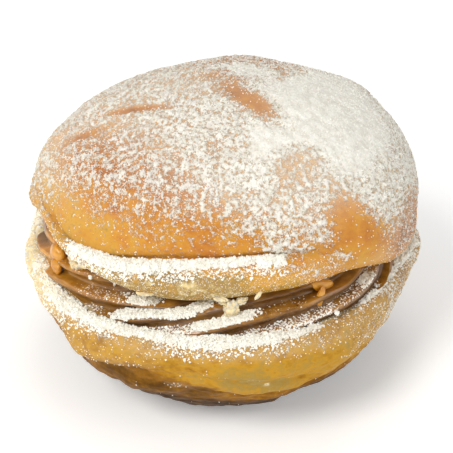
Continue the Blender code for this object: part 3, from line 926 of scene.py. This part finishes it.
def build_lower():
    theta = fine_azimuths(512, 0.59)
    line = np.linspace(0, BASE_KNOTS - 1, 3000)
    profile = base_surface(np.array([270.0]), line)[0]

    def step(t):
        return np.interp(t, [0, 2.0, 4.0, 9.0, 10.0, 12.6, 13.6, 14.6, 15.6, 17.0], [2.0, 1.0, 0.46, 0.38, 0.30, 0.30, 0.45, 1.0, 2.6, 4.0])
    t = spaced(profile, line, step)
    grid = base_surface(theta, t)
    nrm = -normals_of(grid)
    mean = base_surface(theta[::16], t)
    length = np.concatenate([[0], np.cumsum(np.linalg.norm(np.diff(mean, axis=1), axis=2).mean(0))])
    middle = mean[:, 0].mean(0)
    radius = np.hypot(mean[..., 0] - middle[0], mean[..., 1] - middle[1]).mean(0)
    radius[0] = 0.0
    radius[-1] = 0.0
    rings = Rings(radius, len(theta), 0.50)
    nrm[:, 0] = (0, 0, -1)
    nrm[:, -1] = (0, 0, 1)
    p, n = rings.pick(grid), rings.pick(nrm)
    n /= np.maximum(np.linalg.norm(n, axis=1, keepdims=True), 1e-9)
    tt, az = t[rings.row], theta[rings.az]
    v = directions(p, BASE_MIDDLE)
    el = np.degrees(np.arcsin(np.clip(v[:, 2], -1, 1)))
    uneven = 0.22 * rough_noise(p, 7.0, 33) + 0.14 * rough_noise(p, 2.0, 34)
    ground = 0.01 + 0.32 * ease(9.6, 10.8, tt + 0.5 * rough_noise(p, 3.0, 35))
    cover = painted(v, ground, BASE_SUGAR, uneven) * (1 - ease(13.0, 13.8, tt)) * ease(3.5, 5.5, tt)
    clump = clumped(p, 41)
    heap = ease(-0.1, 0.5, clump - 0.9 * (1 - cover)) * ease(0.03, 0.15, cover)
    # browner and darker towards the bottom: partly deeper-fried crust, partly painted shade under the half
    brown = 1.00 - 0.58 * ease(-30, -2, el) + 0.06 * rough_noise(p, 8.0, 37)
    brown = painted(v, brown, BASE_BROWN_AND_SHADE, 0.6 * uneven)
    stretched = p * np.array([0.45, 0.45, 1.5])
    folds = rough_noise(stretched, 3.0, 38)
    side = ease(3.2, 4.4, tt) * (1 - ease(9.5, 10.8, tt))
    relief = side * (0.75 * rough_noise(p, 9.0, 39) + 0.75 * folds) + 0.05 * rough_noise(p, 1.6, 40) * side
    for fold_az, fold_el, along, across, turn, by, soft in BASE_FOLDS:
        relief += by * patch(v, fold_az, fold_el, along, across, turn, soft, 0.8 * uneven) * ease(3.2, 5.0, tt) * (1 - ease(11.4, 12.4, tt))
    relief += 0.34 * heap * clump * ease(0.1, 0.5, cover)
    crumb = np.maximum(ease(12.6, 13.4, tt), 0.95 * patch(v, 190, 2, 27, 8, 0, 0.6, uneven))   # the soaked rim is as pale
    relief = relief * ease(2.2, 3.4, tt)
    p = p + n * relief[:, None]
    p[:, 2] = np.maximum(p[:, 2], 0.0)
    tris = rings.tris[:, ::-1]
    rings.tris = tris
    rings.rows_of = rings.row[tris]
    ob = new_mesh("lower_dough", p, tris, two_discs(rings, theta, length, int(np.searchsorted(t, 13.0))),
                  {"brown": brown, "sugar": cover, "heap": heap, "crumb": crumb, "haze": 0.6 * np.clip(cover - 0.05, 0, 0.8)})
    wear(ob, LOWER)
    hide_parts("lower_half")
    return dict(ob=ob, p=p, n=n, tris=tris, cover=cover, t=tt, az=az, el=el, grid_t=t)


# ------------------------------------------------------------------ filling
def filling_grid(theta, side):
    """Places of the filling's side, their normals, and how each lies on its ridge."""
    wall, foot, top, tall = fill_wall(theta, side)
    n = ridge_number(theta, wall[..., 2])
    which = np.floor(n)
    f = n - which
    nose = ease(0.10, 0.86, f) ** 1.3
    shelf = 1 - ease(0.0, 0.10, f)
    out = np.maximum(nose, shelf)
    wide = np.stack([which * 3.7, theta[:, None] / 14.0 + 0 * which, 0 * which], -1)
    vary = 1 + 0.35 * smooth_noise(wide, 1.0, 61)
    clear = ease(0.15, 1.0, wall[..., 2] - foot[..., 2]) * ease(0.15, 1.0, top[..., 2] - wall[..., 2])
    push = RIDGE_OUT * 1.30 * out * vary * clear * np.minimum(1.0, tall / 6.0)
    a = np.arctan2(wall[..., 1], wall[..., 0])
    p = wall.copy()
    p[..., 0] += push * np.cos(a)
    p[..., 1] += push * np.sin(a)
    return p, n, f, which, clear


def build_filling():
    theta = fine_azimuths(640, 0.64)
    side = np.linspace(0, 1, 122)
    wall, n, f, which, clear = filling_grid(theta, side)
    floor = base_surface(theta, np.linspace(BASE_FACE - 1, BASE_KNOTS - 1, 60))
    roof = lid_surface(theta, np.linspace(LID_FACE - 1, LID_KNOTS - 1, 60))
    low = at_radius(floor, [BASE_R - 25.0, BASE_R - 14.0, BASE_R - 8.0]) + np.array([0, 0, GAP])
    high = at_radius(roof, [LID_R - 11.0, LID_R - 20.0]) - np.array([0, 0, GAP])
    grid = np.concatenate([low, wall, high], 1)
    rows = grid.shape[1]
    bottom = floor[:, -1].mean(0) + np.array([0, 0, GAP])
    crown = roof[:, -1].mean(0) - np.array([0, 0, GAP])
    nrm = -normals_of(grid)
    flat = grid.reshape(-1, 3)
    gentle = np.zeros(grid.shape[:2])
    gentle[:, 3:3 + wall.shape[1]] = clear
    relief = gentle.ravel() * (0.16 * rough_noise(flat * np.array([0.5, 0.5, 1.6]), 2.2, 62) + 0.03 * rough_noise(flat, 0.9, 63))
    flat = flat + nrm.reshape(-1, 3) * relief[:, None]
    tris = grid_faces(len(theta), rows, around=True, flip=True)
    pts = np.concatenate([flat, [bottom, crown]])
    i = np.arange(len(theta))
    k = (i + 1) % len(theta)
    caps = np.concatenate([np.stack([np.full_like(i, len(flat)), k * rows, i * rows], 1),
                           np.stack([np.full_like(i, len(flat) + 1), i * rows + rows - 1, k * rows + rows - 1], 1)])
    tris = np.concatenate([tris, caps])
    full_f = np.zeros(grid.shape[:2])
    full_f[:, 3:3 + wall.shape[1]] = f
    az = np.repeat(theta[:, None], rows, 1)
    # the layer noses are paler orange: partly thin caramel, partly painted light on the noses; the notches and the
    # edges by the halves stay dark, partly painted shade
    nose_thin_and_lit = np.maximum(swell(full_f, 1.0, 0.30), swell(full_f, 0.0, 0.10))
    thin = 0.14 + 0.34 * nose_thin_and_lit * gentle + 0.25 * (1 - ease(215, 245, az)) * ease(185, 200, az) + 0.45 * turn_swell(az, 199, 12)
    thin = np.clip(thin + 0.12 * rough_noise(grid, 4.0, 64), 0, 1)
    dust = 0.0 * thin
    for ridge_no, a, b, w, amount in RIDGE_DUST:
        full_n = np.zeros(grid.shape[:2])
        full_n[:, 3:3 + wall.shape[1]] = n
        near = swell(full_n, ridge_no + w, 0.34)
        dust = np.maximum(dust, amount * near * ease(a - 4, a + 4, az) * (1 - ease(b - 4, b + 4, az)))
    uvw = np.stack([np.repeat(np.linspace(0.01, 0.99, len(theta))[:, None], rows, 1),
                    np.repeat(np.linspace(0.06, 0.99, rows)[None], len(theta), 0)], -1).reshape(-1, 2)
    uvw = np.concatenate([uvw, [(0.5, 0.01), (0.5, 0.998)]])
    uv = uvw[tris]
    wrap = (uv[..., 0].max(1) - uv[..., 0].min(1)) > 0.6
    uv[wrap, :, 0] = np.where(uv[wrap, :, 0] < 0.5, 0.9985, uv[wrap, :, 0])
    ob = new_mesh("caramel_filling", pts, tris, uv.reshape(-1, 2),
                  {"thin": np.append(thin.ravel(), [0.2, 0.2]), "sugar": np.append(dust.ravel(), [0, 0])})
    wear(ob, CARAMEL)
    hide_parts("filling")
    return ob


# powder on the noses: layer number, azimuths from and to, place over the nose as a share of a step, share covered
RIDGE_DUST = ((-6, 206, 236, 0.0, 0.20), (-7, 222, 240, 0.0, 0.36), (-9, 248, 262, 0.0, 0.62), (-9, 280, 300, 0.0, 0.20),
              (-10, 266, 308, -0.05, 0.66), (-10, 308, 332, 0.0, 0.42), (-8, 224, 234, 0.0, 0.45))
# piled sugar on them: layer number, azimuths from and to, place over the nose, thickness in mm
RIDGE_SUGAR = ((-7, 239, 249, 0.06, 0.45), (-8, 238, 266, 0.06, 0.70), (-9, 261, 281, 0.06, 0.50), (-10, 320, 326, 0.04, 0.50))


# ------------------------------------------------------------------ piled sugar
def frayed(p, seed):
    """A rough top for a pile, about -1 to 1: clumps of about 1.6, 0.8 and 0.4 mm."""
    mixed = 0.42 * lumps_noise(p, 1.6, seed + 2) + 0.36 * lumps_noise(p, 0.8, seed) + 0.22 * lumps_noise(p, 0.42, seed + 1)
    return np.clip((mixed - 0.70) / 0.16, -1.2, 1.2)


def build_band():
    """The ridge of sugar that lies in the crease round the front of the upper half."""
    theta = np.arange(214.0, 292.0, 0.15)
    t = np.linspace(6.0, 10.0, 116)
    grid = lid_surface(theta, t)
    n = normals_of(np.concatenate([grid[:1], grid, grid[-1:]]))[1:-1]
    n[0], n[-1] = n[1], n[-2]
    az = theta[:, None]
    centre = np.interp(theta, [216, 226, 237, 247, 258, 264, 273, 286], [8.2, 7.85, 8.0, 7.7, 7.6, 7.35, 7.4, 7.7])[:, None]
    half = np.interp(theta, [216, 223, 230, 238, 247, 258, 273, 286], [0.30, 0.72, 0.70, 0.56, 0.52, 0.46, 0.48, 0.50])[:, None]
    ends = ease(217, 223, az) * (1 - ease(284.4, 287.2, az))
    wobble = 0.30 * rough_noise(grid, 5.0, 71) + 0.40 * rough_noise(grid, 1.5, 72) + 0.24 * rough_noise(grid, 0.7, 75)
    q = np.abs(t[None] - centre) / half + wobble
    body = np.clip(1 - q * q, -1, 1)
    h = 0.95 * np.maximum(body, 0) ** 0.6 * ends - 0.55 * np.maximum(-body, 0)
    h = h + 0.26 * frayed(grid, 73) + 0.34 * rough_noise(grid, 2.6, 74) - 0.75 * (1 - ends) - 0.10
    ob = drift("sugar_band", grid, n, h)
    wear(ob, POWDER)
    return dict(p=(grid + n * np.clip(h, 0, 1.4)[..., None]).reshape(-1, 3), n=n.reshape(-1, 3),
                d=((0.55 * ease(1.3, 0.9, q) + 0.45 * ease(3.4, 1.0, q) * (t[None] > centre)) * ends).ravel(), shape=grid.shape[:2])


def build_rim():
    """Sugar caught on the lower half's rim: heavy at the front and the right end, thinner and torn on the left."""
    theta = np.concatenate([np.arange(0, 160, 0.55), np.arange(160, 360, 0.27)])
    t = np.linspace(9.0, 14.2, 82)
    grid = base_surface(theta, t)
    n = -normals_of(grid)
    az = theta[:, None]
    outer = np.interp(theta, [0, 40, 140, 182, 207, 221, 247, 270, 293, 305, 322, 345, 360],
                      [11.5, 11.8, 11.5, 10.8, 10.4, 10.8, 11.6, 11.4, 12.0, 12.5, 12.1, 11.6, 11.6])[:, None]
    inner = np.interp(theta, [0, 90, 180, 200, 225, 260, 300, 330, 360], [12.9, 12.8, 12.7, 12.5, 12.9, 13.4, 13.5, 12.9, 12.9])[:, None]
    amount = np.interp(theta, [0, 20, 60, 150, 172, 200, 214, 232, 262, 286, 296, 303, 316, 324, 336, 350, 360],
                       [0.55, 0.35, 0.20, 0.20, 0.20, 0.26, 0.50, 0.85, 0.90, 0.85, 0.50, 0.05, -0.05, 0.80, 1.00, 0.80, 0.55])[:, None]
    wobble = 0.06 + 0.60 * rough_noise(grid, 5.0, 81) + 0.42 * rough_noise(grid, 1.6, 82) + 0.22 * rough_noise(grid, 0.7, 85)
    strand = ease(318, 328, az) * rough_noise(grid * np.array([0.35, 0.35, 1.4]), 1.6, 86)
    half = 0.5 * (inner - outer)
    q = np.abs(t[None] - 0.5 * (inner + outer)) / half + wobble + 0.8 * strand
    body = np.clip(1 - q * q, -1.2, 1)
    h = 0.80 * amount * np.maximum(body, 0) ** 0.6 - 0.55 * np.maximum(-body, 0)
    h = h + (0.24 * frayed(grid, 83) + 0.26 * rough_noise(grid, 2.6, 84)) * np.clip(amount + 0.3, 0, 1) - 0.08 - 0.5 * (amount < 0.1)
    soak = (1 - ease(210, 232, az)) * ease(150, 170, az) * 0.6 + 0 * h
    ob = drift("sugar_rim", grid, n, h, {"soak": soak}, around=True, flip=True)
    wear(ob, POWDER)
    return dict(p=(grid + n * np.clip(h, 0, 1.4)[..., None]).reshape(-1, 3), n=n.reshape(-1, 3),
                d=((0.6 * ease(1.25, 0.9, q) + 0.4 * ease(2.6, 1.0, q) * (t[None] < 0.5 * (inner + outer))) * np.clip(amount, 0, 1)).ravel(), shape=grid.shape[:2])


def build_ridge_sugar():
    """Sugar that lies along the outer edges of some layers of the filling."""
    theta = np.arange(228.0, 334.0, 0.18)
    side = np.linspace(0.0, 1.0, 170)
    grid, number, f, which, clear = filling_grid(theta, side)
    n = -normals_of(np.concatenate([grid[:1], grid, grid[-1:]]))[1:-1]
    n[0], n[-1] = n[1], n[-2]
    az = theta[:, None]
    h = np.full(grid.shape[:2], -1.0)
    wobble = 0.34 * rough_noise(grid, 2.0, 91) + 0.26 * rough_noise(grid, 0.8, 92)
    for no, a, b, over, thick in RIDGE_SUGAR:
        ends = ease(a - 6, a + 5, az) * (1 - ease(b - 5, b + 6, az))
        q = np.abs(number - no - over) / (0.05 + 0.07 * ends) + wobble
        body = np.clip(1 - q * q, -1, 1)
        h = np.maximum(h, thick * np.maximum(body, 0) ** 0.6 * ends - 0.55 * np.maximum(-body, 0) - 0.6 * (1 - ends))
    h = h + 0.20 * frayed(grid, 93) - 0.10
    lean = n * 0.75 + np.array([0, 0, 0.35])
    lean /= np.linalg.norm(lean, axis=-1, keepdims=True)
    ob = drift("sugar_on_layers", grid, lean, h, flip=True)
    wear(ob, POWDER)
    return dict(p=(grid + lean * np.clip(h, 0, 1.4)[..., None]).reshape(-1, 3), n=n.reshape(-1, 3),
                d=ease(-0.35, 0.1, h).ravel(), shape=grid.shape[:2])


def blob(middle, radii, outward, tip, seed, rough, fine, bend=0.0):
    """An uneven lump: radii across, outward and along; outward is its azimuth, tip how far it tips over sideways."""
    lat = np.linspace(0, math.pi, 27)[:, None]
    lon = np.linspace(0, 2 * math.pi, 42, endpoint=False)[None]
    u = np.stack([np.sin(lat) * np.cos(lon), np.sin(lat) * np.sin(lon), np.cos(lat) + 0 * lon], -1)
    r = 1 + rough * rough_noise(u + seed, 0.9, seed) + fine * (lumps_noise(u + seed, 0.42, seed + 3) - 0.7)
    q = u * r[..., None] * np.array(radii)
    q[..., 0] += bend * (q[..., 2] / radii[2]) ** 2
    k = math.radians(tip)
    q = np.stack([q[..., 0] * math.cos(k) + q[..., 2] * math.sin(k), q[..., 1], -q[..., 0] * math.sin(k) + q[..., 2] * math.cos(k)], -1)
    a = math.radians(outward)
    across, out = np.array([-math.sin(a), math.cos(a), 0]), np.array([math.cos(a), math.sin(a), 0])
    p = q[..., :1] * across + q[..., 1:2] * out + q[..., 2:] * np.array([0, 0, 1.0]) + np.array(middle)
    rows, cols = p.shape[:2]
    i, j = np.meshgrid(np.arange(rows - 1), np.arange(cols), indexing="ij")
    a0, b0 = i * cols + j, i * cols + (j + 1) % cols
    c0, d0 = (i + 1) * cols + (j + 1) % cols, (i + 1) * cols + j
    tris = np.concatenate([np.stack([a0, d0, c0], -1).reshape(-1, 3), np.stack([a0, c0, b0], -1).reshape(-1, 3)])
    pts = p.reshape(-1, 3)
    first = np.arange(rows * cols)
    first[:cols] = 0
    first[-cols:] = (rows - 1) * cols
    tris = first[tris]
    tris = tris[(tris[:, 0] != tris[:, 1]) & (tris[:, 1] != tris[:, 2]) & (tris[:, 0] != tris[:, 2])]
    return pts, tris


def blobs(name, parts, material, values):
    """Lumps joined in one mesh, each given by its place on the object and its sizes."""
    pts, tris, uvs, count = [], [], [], 0
    side = int(math.ceil(math.sqrt(len(parts))))
    for k, part in enumerate(parts):
        p, t = blob(*part)
        used = np.unique(t)
        index = np.full(len(p), -1)
        index[used] = np.arange(len(used))
        rows = np.arange(len(p)) // 42 / 26.0
        cols = np.arange(len(p)) % 42 / 42.0
        cell = np.array([k % side, k // side])
        uv = np.stack([cols, rows], -1)[t]
        over = (uv[..., 0].max(1) - uv[..., 0].min(1)) > 0.5
        uv[over, :, 0] = np.where(uv[over, :, 0] < 0.5, uv[over, :, 0] + 1, uv[over, :, 0])
        uvs.append((cell + 0.04 + 0.92 * uv.reshape(-1, 2)) / side)
        pts.append(p[used])
        tris.append(index[t] + count)
        count += len(used)
    pts, tris = np.concatenate(pts), np.concatenate(tris)
    ob = new_mesh(name, pts, tris, np.concatenate(uvs), {k: np.full(len(pts), v) for k, v in values.items()})
    wear(ob, material)
    return ob


def on_filling(az, side, out):
    """A place that far out from the filling's side, in mm."""
    wall, foot, top, tall = fill_wall(np.array([az]), np.array([side]))
    a = math.atan2(wall[0, 0, 1], wall[0, 0, 0])
    return wall[0, 0] + out * np.array([math.cos(a), math.sin(a), 0])


def build_lumps():
    """Crumbs torn from the dough, the filling's folded end and flap, and a few nuggets of sugar."""
    hung = on_filling(272.5, 0.78, 2.6)
    blobs("dough_crumbs", (
        (on_filling(216.5, 0.64, 2.2), (2.3, 1.1, 1.3), 216, 14, 301, 0.5, 0.5),
        (on_filling(219.5, 0.72, 2.0), (1.4, 0.9, 1.0), 219, 0, 302, 0.5, 0.5),
        (hung, (1.7, 1.0, 2.0), 272, 6, 303, 0.6, 0.6),
        (hung + np.array([-1.7, 0.3, 1.6]), (1.3, 0.8, 0.8), 272, 30, 304, 0.6, 0.6),
        (hung + np.array([1.9, 0.3, 1.7]), (1.4, 0.8, 0.8), 272, -24, 305, 0.6, 0.6),
        (hung + np.array([-1.0, 0.1, -1.9]), (0.8, 0.7, 1.2), 272, 20, 306, 0.5, 0.6),
        (lid_surface(np.array([279.0]), np.array([10.55]))[0, 0] + np.array([0, -0.2, -0.5]), (0.45, 0.4, 1.3), 279, 35, 307, 0.4, 0.3),
        (lid_surface(np.array([268.0]), np.array([10.6]))[0, 0] + np.array([0, 0.0, -0.3]), (1.5, 0.6, 0.6), 268, 10, 308, 0.6, 0.5),
        (lid_surface(np.array([246.0]), np.array([10.5]))[0, 0] + np.array([0, 0.0, -0.2]), (2.0, 0.6, 0.5), 246, -8, 309, 0.6, 0.5),
        (lid_surface(np.array([226.0]), np.array([10.5]))[0, 0] + np.array([0, 0.0, -0.2]), (1.8, 0.6, 0.6), 226, -14, 310, 0.6, 0.5),
    ), LOWER, {"brown": 0.02, "sugar": 0.34, "heap": 0.5, "crumb": 0.9, "haze": 0.2})
    blobs("caramel_folds", (
        (on_filling(206.0, 0.46, 1.4), (2.9, 1.6, 2.5), 206, 6, 321, 0.14, 0.0, 0.4),
        (on_filling(201.0, 0.62, 1.3), (1.6, 1.3, 3.0), 201, -16, 322, 0.14, 0.0, -0.3),
        (on_filling(208.5, 0.30, 1.6), (2.1, 1.1, 1.5), 208, 24, 327, 0.14, 0.0, 0.4),
        (on_filling(303.6, 0.72, 0.9), (3.2, 0.7, 1.5), 303, 22, 324, 0.3, 0.0, 0.8),
        (on_filling(302.2, 0.56, 1.2), (1.0, 0.6, 2.4), 302, 10, 326, 0.2, 0.0, 0.3),
    ), CARAMEL, {"thin": 1.0, "sugar": 0.06})
    blobs("sugar_nuggets", (
        (on_filling(202.0, 0.78, 3.4), (0.7, 0.5, 0.9), 202, 0, 331, 0.4, 0.6),
        (on_filling(225.0, 0.66, 2.6), (0.5, 0.4, 0.5), 225, 0, 332, 0.4, 0.6),
        (on_filling(233.0, 0.80, 2.2), (0.3, 0.3, 0.9), 233, 14, 333, 0.4, 0.6),
        (on_filling(306.5, 0.22, 2.8), (0.55, 0.5, 0.5), 306, 0, 334, 0.4, 0.6),
        (on_filling(298.0, 0.10, 2.0), (0.4, 0.4, 0.4), 298, 0, 335, 0.4, 0.6),
    ), POWDER, {"soak": 0.0})


def build_grains(upper, lower, band, rim, layers):
    """Loose grains: on the dusted crust, and thick on and round the piles."""
    density = np.clip(upper["cover"], 0, 0.8) * (upper["t"] < 10.8) + 0.03 * (upper["t"] < 10.8)
    p, n, rng = scattered(upper["p"], upper["n"], upper["tris"], density, 18000, 101)
    ob = grains("sugar_grains_upper", p, n, 0.06 + 0.16 * rng.uniform(0, 1, len(p)) ** 1.6, 102)
    wear(ob, POWDER)
    lip = (ease(8.0, 8.6, upper["t"]) * (1 - ease(10.4, 11.0, upper["t"])) * ease(200, 214, upper["az"]) * (1 - ease(296, 306, upper["az"])))
    p, n, rng = scattered(upper["p"], upper["n"], upper["tris"], lip, 2000, 111)
    ob = grains("sugar_grains_lip", p, n, rng.uniform(0.05, 0.12, len(p)), 112)
    wear(ob, POWDER)
    density = np.clip(lower["cover"] - 0.04, 0, 0.8) * (lower["t"] > 4) + 0.004 * (lower["t"] > 4) * (lower["t"] < 13.2)
    p, n, rng = scattered(lower["p"], lower["n"], lower["tris"], density, 5000, 103)
    ob = grains("sugar_grains_lower", p, n, rng.uniform(0.08, 0.20, len(p)), 104)
    wear(ob, POWDER)
    for name, where, number, seed, flip, slot in (("sugar_grains_band", band, 6500, 105, False, "upper_dough"),
                                                  ("sugar_grains_rim", rim, 9500, 107, True, "lower_dough"),
                                                  ("sugar_grains_layers", layers, 3000, 109, True, "caramel")):
        rows, cols = where["shape"]
        tris = grid_faces(rows, cols, around=False, flip=flip)
        p, n, rng = scattered(where["p"], where["n"], tris, where["d"], number, seed)
        size = 0.08 + 0.32 * rng.uniform(0, 1, len(p)) ** 2.2
        ob = grains(name, p, n, size, seed + 1, lift=0.5)
        wear(ob, POWDER)


# ------------------------------------------------------------------ stage, light and camera
def build_stage():
    me = bpy.data.meshes.new("floor")
    s = 4.0
    me.from_pydata([(-s, -s, 0), (s, -s, 0), (s, s, 0), (-s, s, 0)], [], [(0, 1, 2, 3)])
    ob = bpy.data.objects.new("floor", me)
    bpy.context.scene.collection.objects.link(ob)
    m = Paint("pale_floor")
    tone = m.noise(60.0, 2, 0.5)
    ob.data.materials.append(m.finish(m.mix(m.span(tone, 0.3, 0.7), (0.96, 0.96, 0.955, 1), (0.97, 0.97, 0.965, 1)), 0.9,
                                      Specular_IOR_Level=0.1, Emission_Color=(1, 1, 1, 1), Emission_Strength=0.20))


def aimed(ob, place, target):
    place, target = np.array(place, float), np.array(target, float)
    back = (place - target) / np.linalg.norm(place - target)
    right = np.cross((0, 0, 1.0), back)
    right /= np.linalg.norm(right)
    up = np.cross(back, right)
    ob.matrix_world = Matrix([[right[i], up[i], back[i], place[i]] for i in range(3)] + [[0, 0, 0, 1]])


def lamp(name, az, el, away, size, watts, tint=(1, 1, 1)):
    data = bpy.data.lights.new(name, "AREA")
    data.shape = "DISK"
    data.size = size
    data.energy = watts
    data.color = tint
    ob = bpy.data.objects.new(name, data)
    bpy.context.scene.collection.objects.link(ob)
    a, b = math.radians(az), math.radians(el)
    middle = np.array([0, 0, 0.035])
    aimed(ob, middle + away * np.array([math.cos(b) * math.cos(a), math.cos(b) * math.sin(a), math.sin(b)]), middle)


def build_light():
    world = bpy.data.worlds.new("studio")
    bpy.context.scene.world = world
    world.use_nodes = True
    bg = world.node_tree.nodes["Background"]
    bg.inputs["Color"].default_value = (1.0, 1.0, 1.0, 1.0)
    bg.inputs["Strength"].default_value = 0.42
    lamp("key", 236, 44, 0.9, 0.36, 4.3, (1.0, 0.985, 0.95))
    lamp("top", 80, 74, 0.9, 0.50, 1.2)
    lamp("right", 338, 26, 0.9, 0.50, 1.6)
    lamp("front", 262, 12, 1.0, 0.50, 0.9)
    lamp("left", 188, 24, 0.9, 0.50, 1.2)


def build_camera():
    el, roll, away, focal = math.radians(29.9), math.radians(1.04), 0.350, 1492.0
    target = (np.array([0.03, 0.0, 31.95]) + MOVED) * MM
    back = np.array([0.0, -math.cos(el), math.sin(el)])
    place = target + back * away
    right = np.array([1.0, 0.0, 0.0])
    up = np.cross(back, right)
    r = math.cos(roll) * right + math.sin(roll) * up
    u = -math.sin(roll) * right + math.cos(roll) * up
    data = bpy.data.cameras.new("camera")
    data.sensor_width = 36.0
    data.lens = focal / 453.0 * 36.0
    data.clip_start = 0.01
    ob = bpy.data.objects.new("camera", data)
    bpy.context.scene.collection.objects.link(ob)
    ob.matrix_world = Matrix([[r[i], u[i], back[i], place[i]] for i in range(3)] + [[0, 0, 0, 1]])
    bpy.context.scene.camera = ob


build_camera()
build_light()
build_stage()
upper = build_upper()
lower = build_lower()
build_filling()
band = build_band()
rim = build_rim()
layers = build_ridge_sugar()
build_lumps()
build_grains(upper, lower, band, rim, layers)

scene = bpy.context.scene
scene.view_settings.view_transform = "Standard"
scene.view_settings.look = "None"
scene.view_settings.exposure = 0.0

for ob in scene.objects:
    if ob.type == "MESH" and "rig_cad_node" not in ob:
        print(ob.name, len(ob.data.polygons), "triangles")
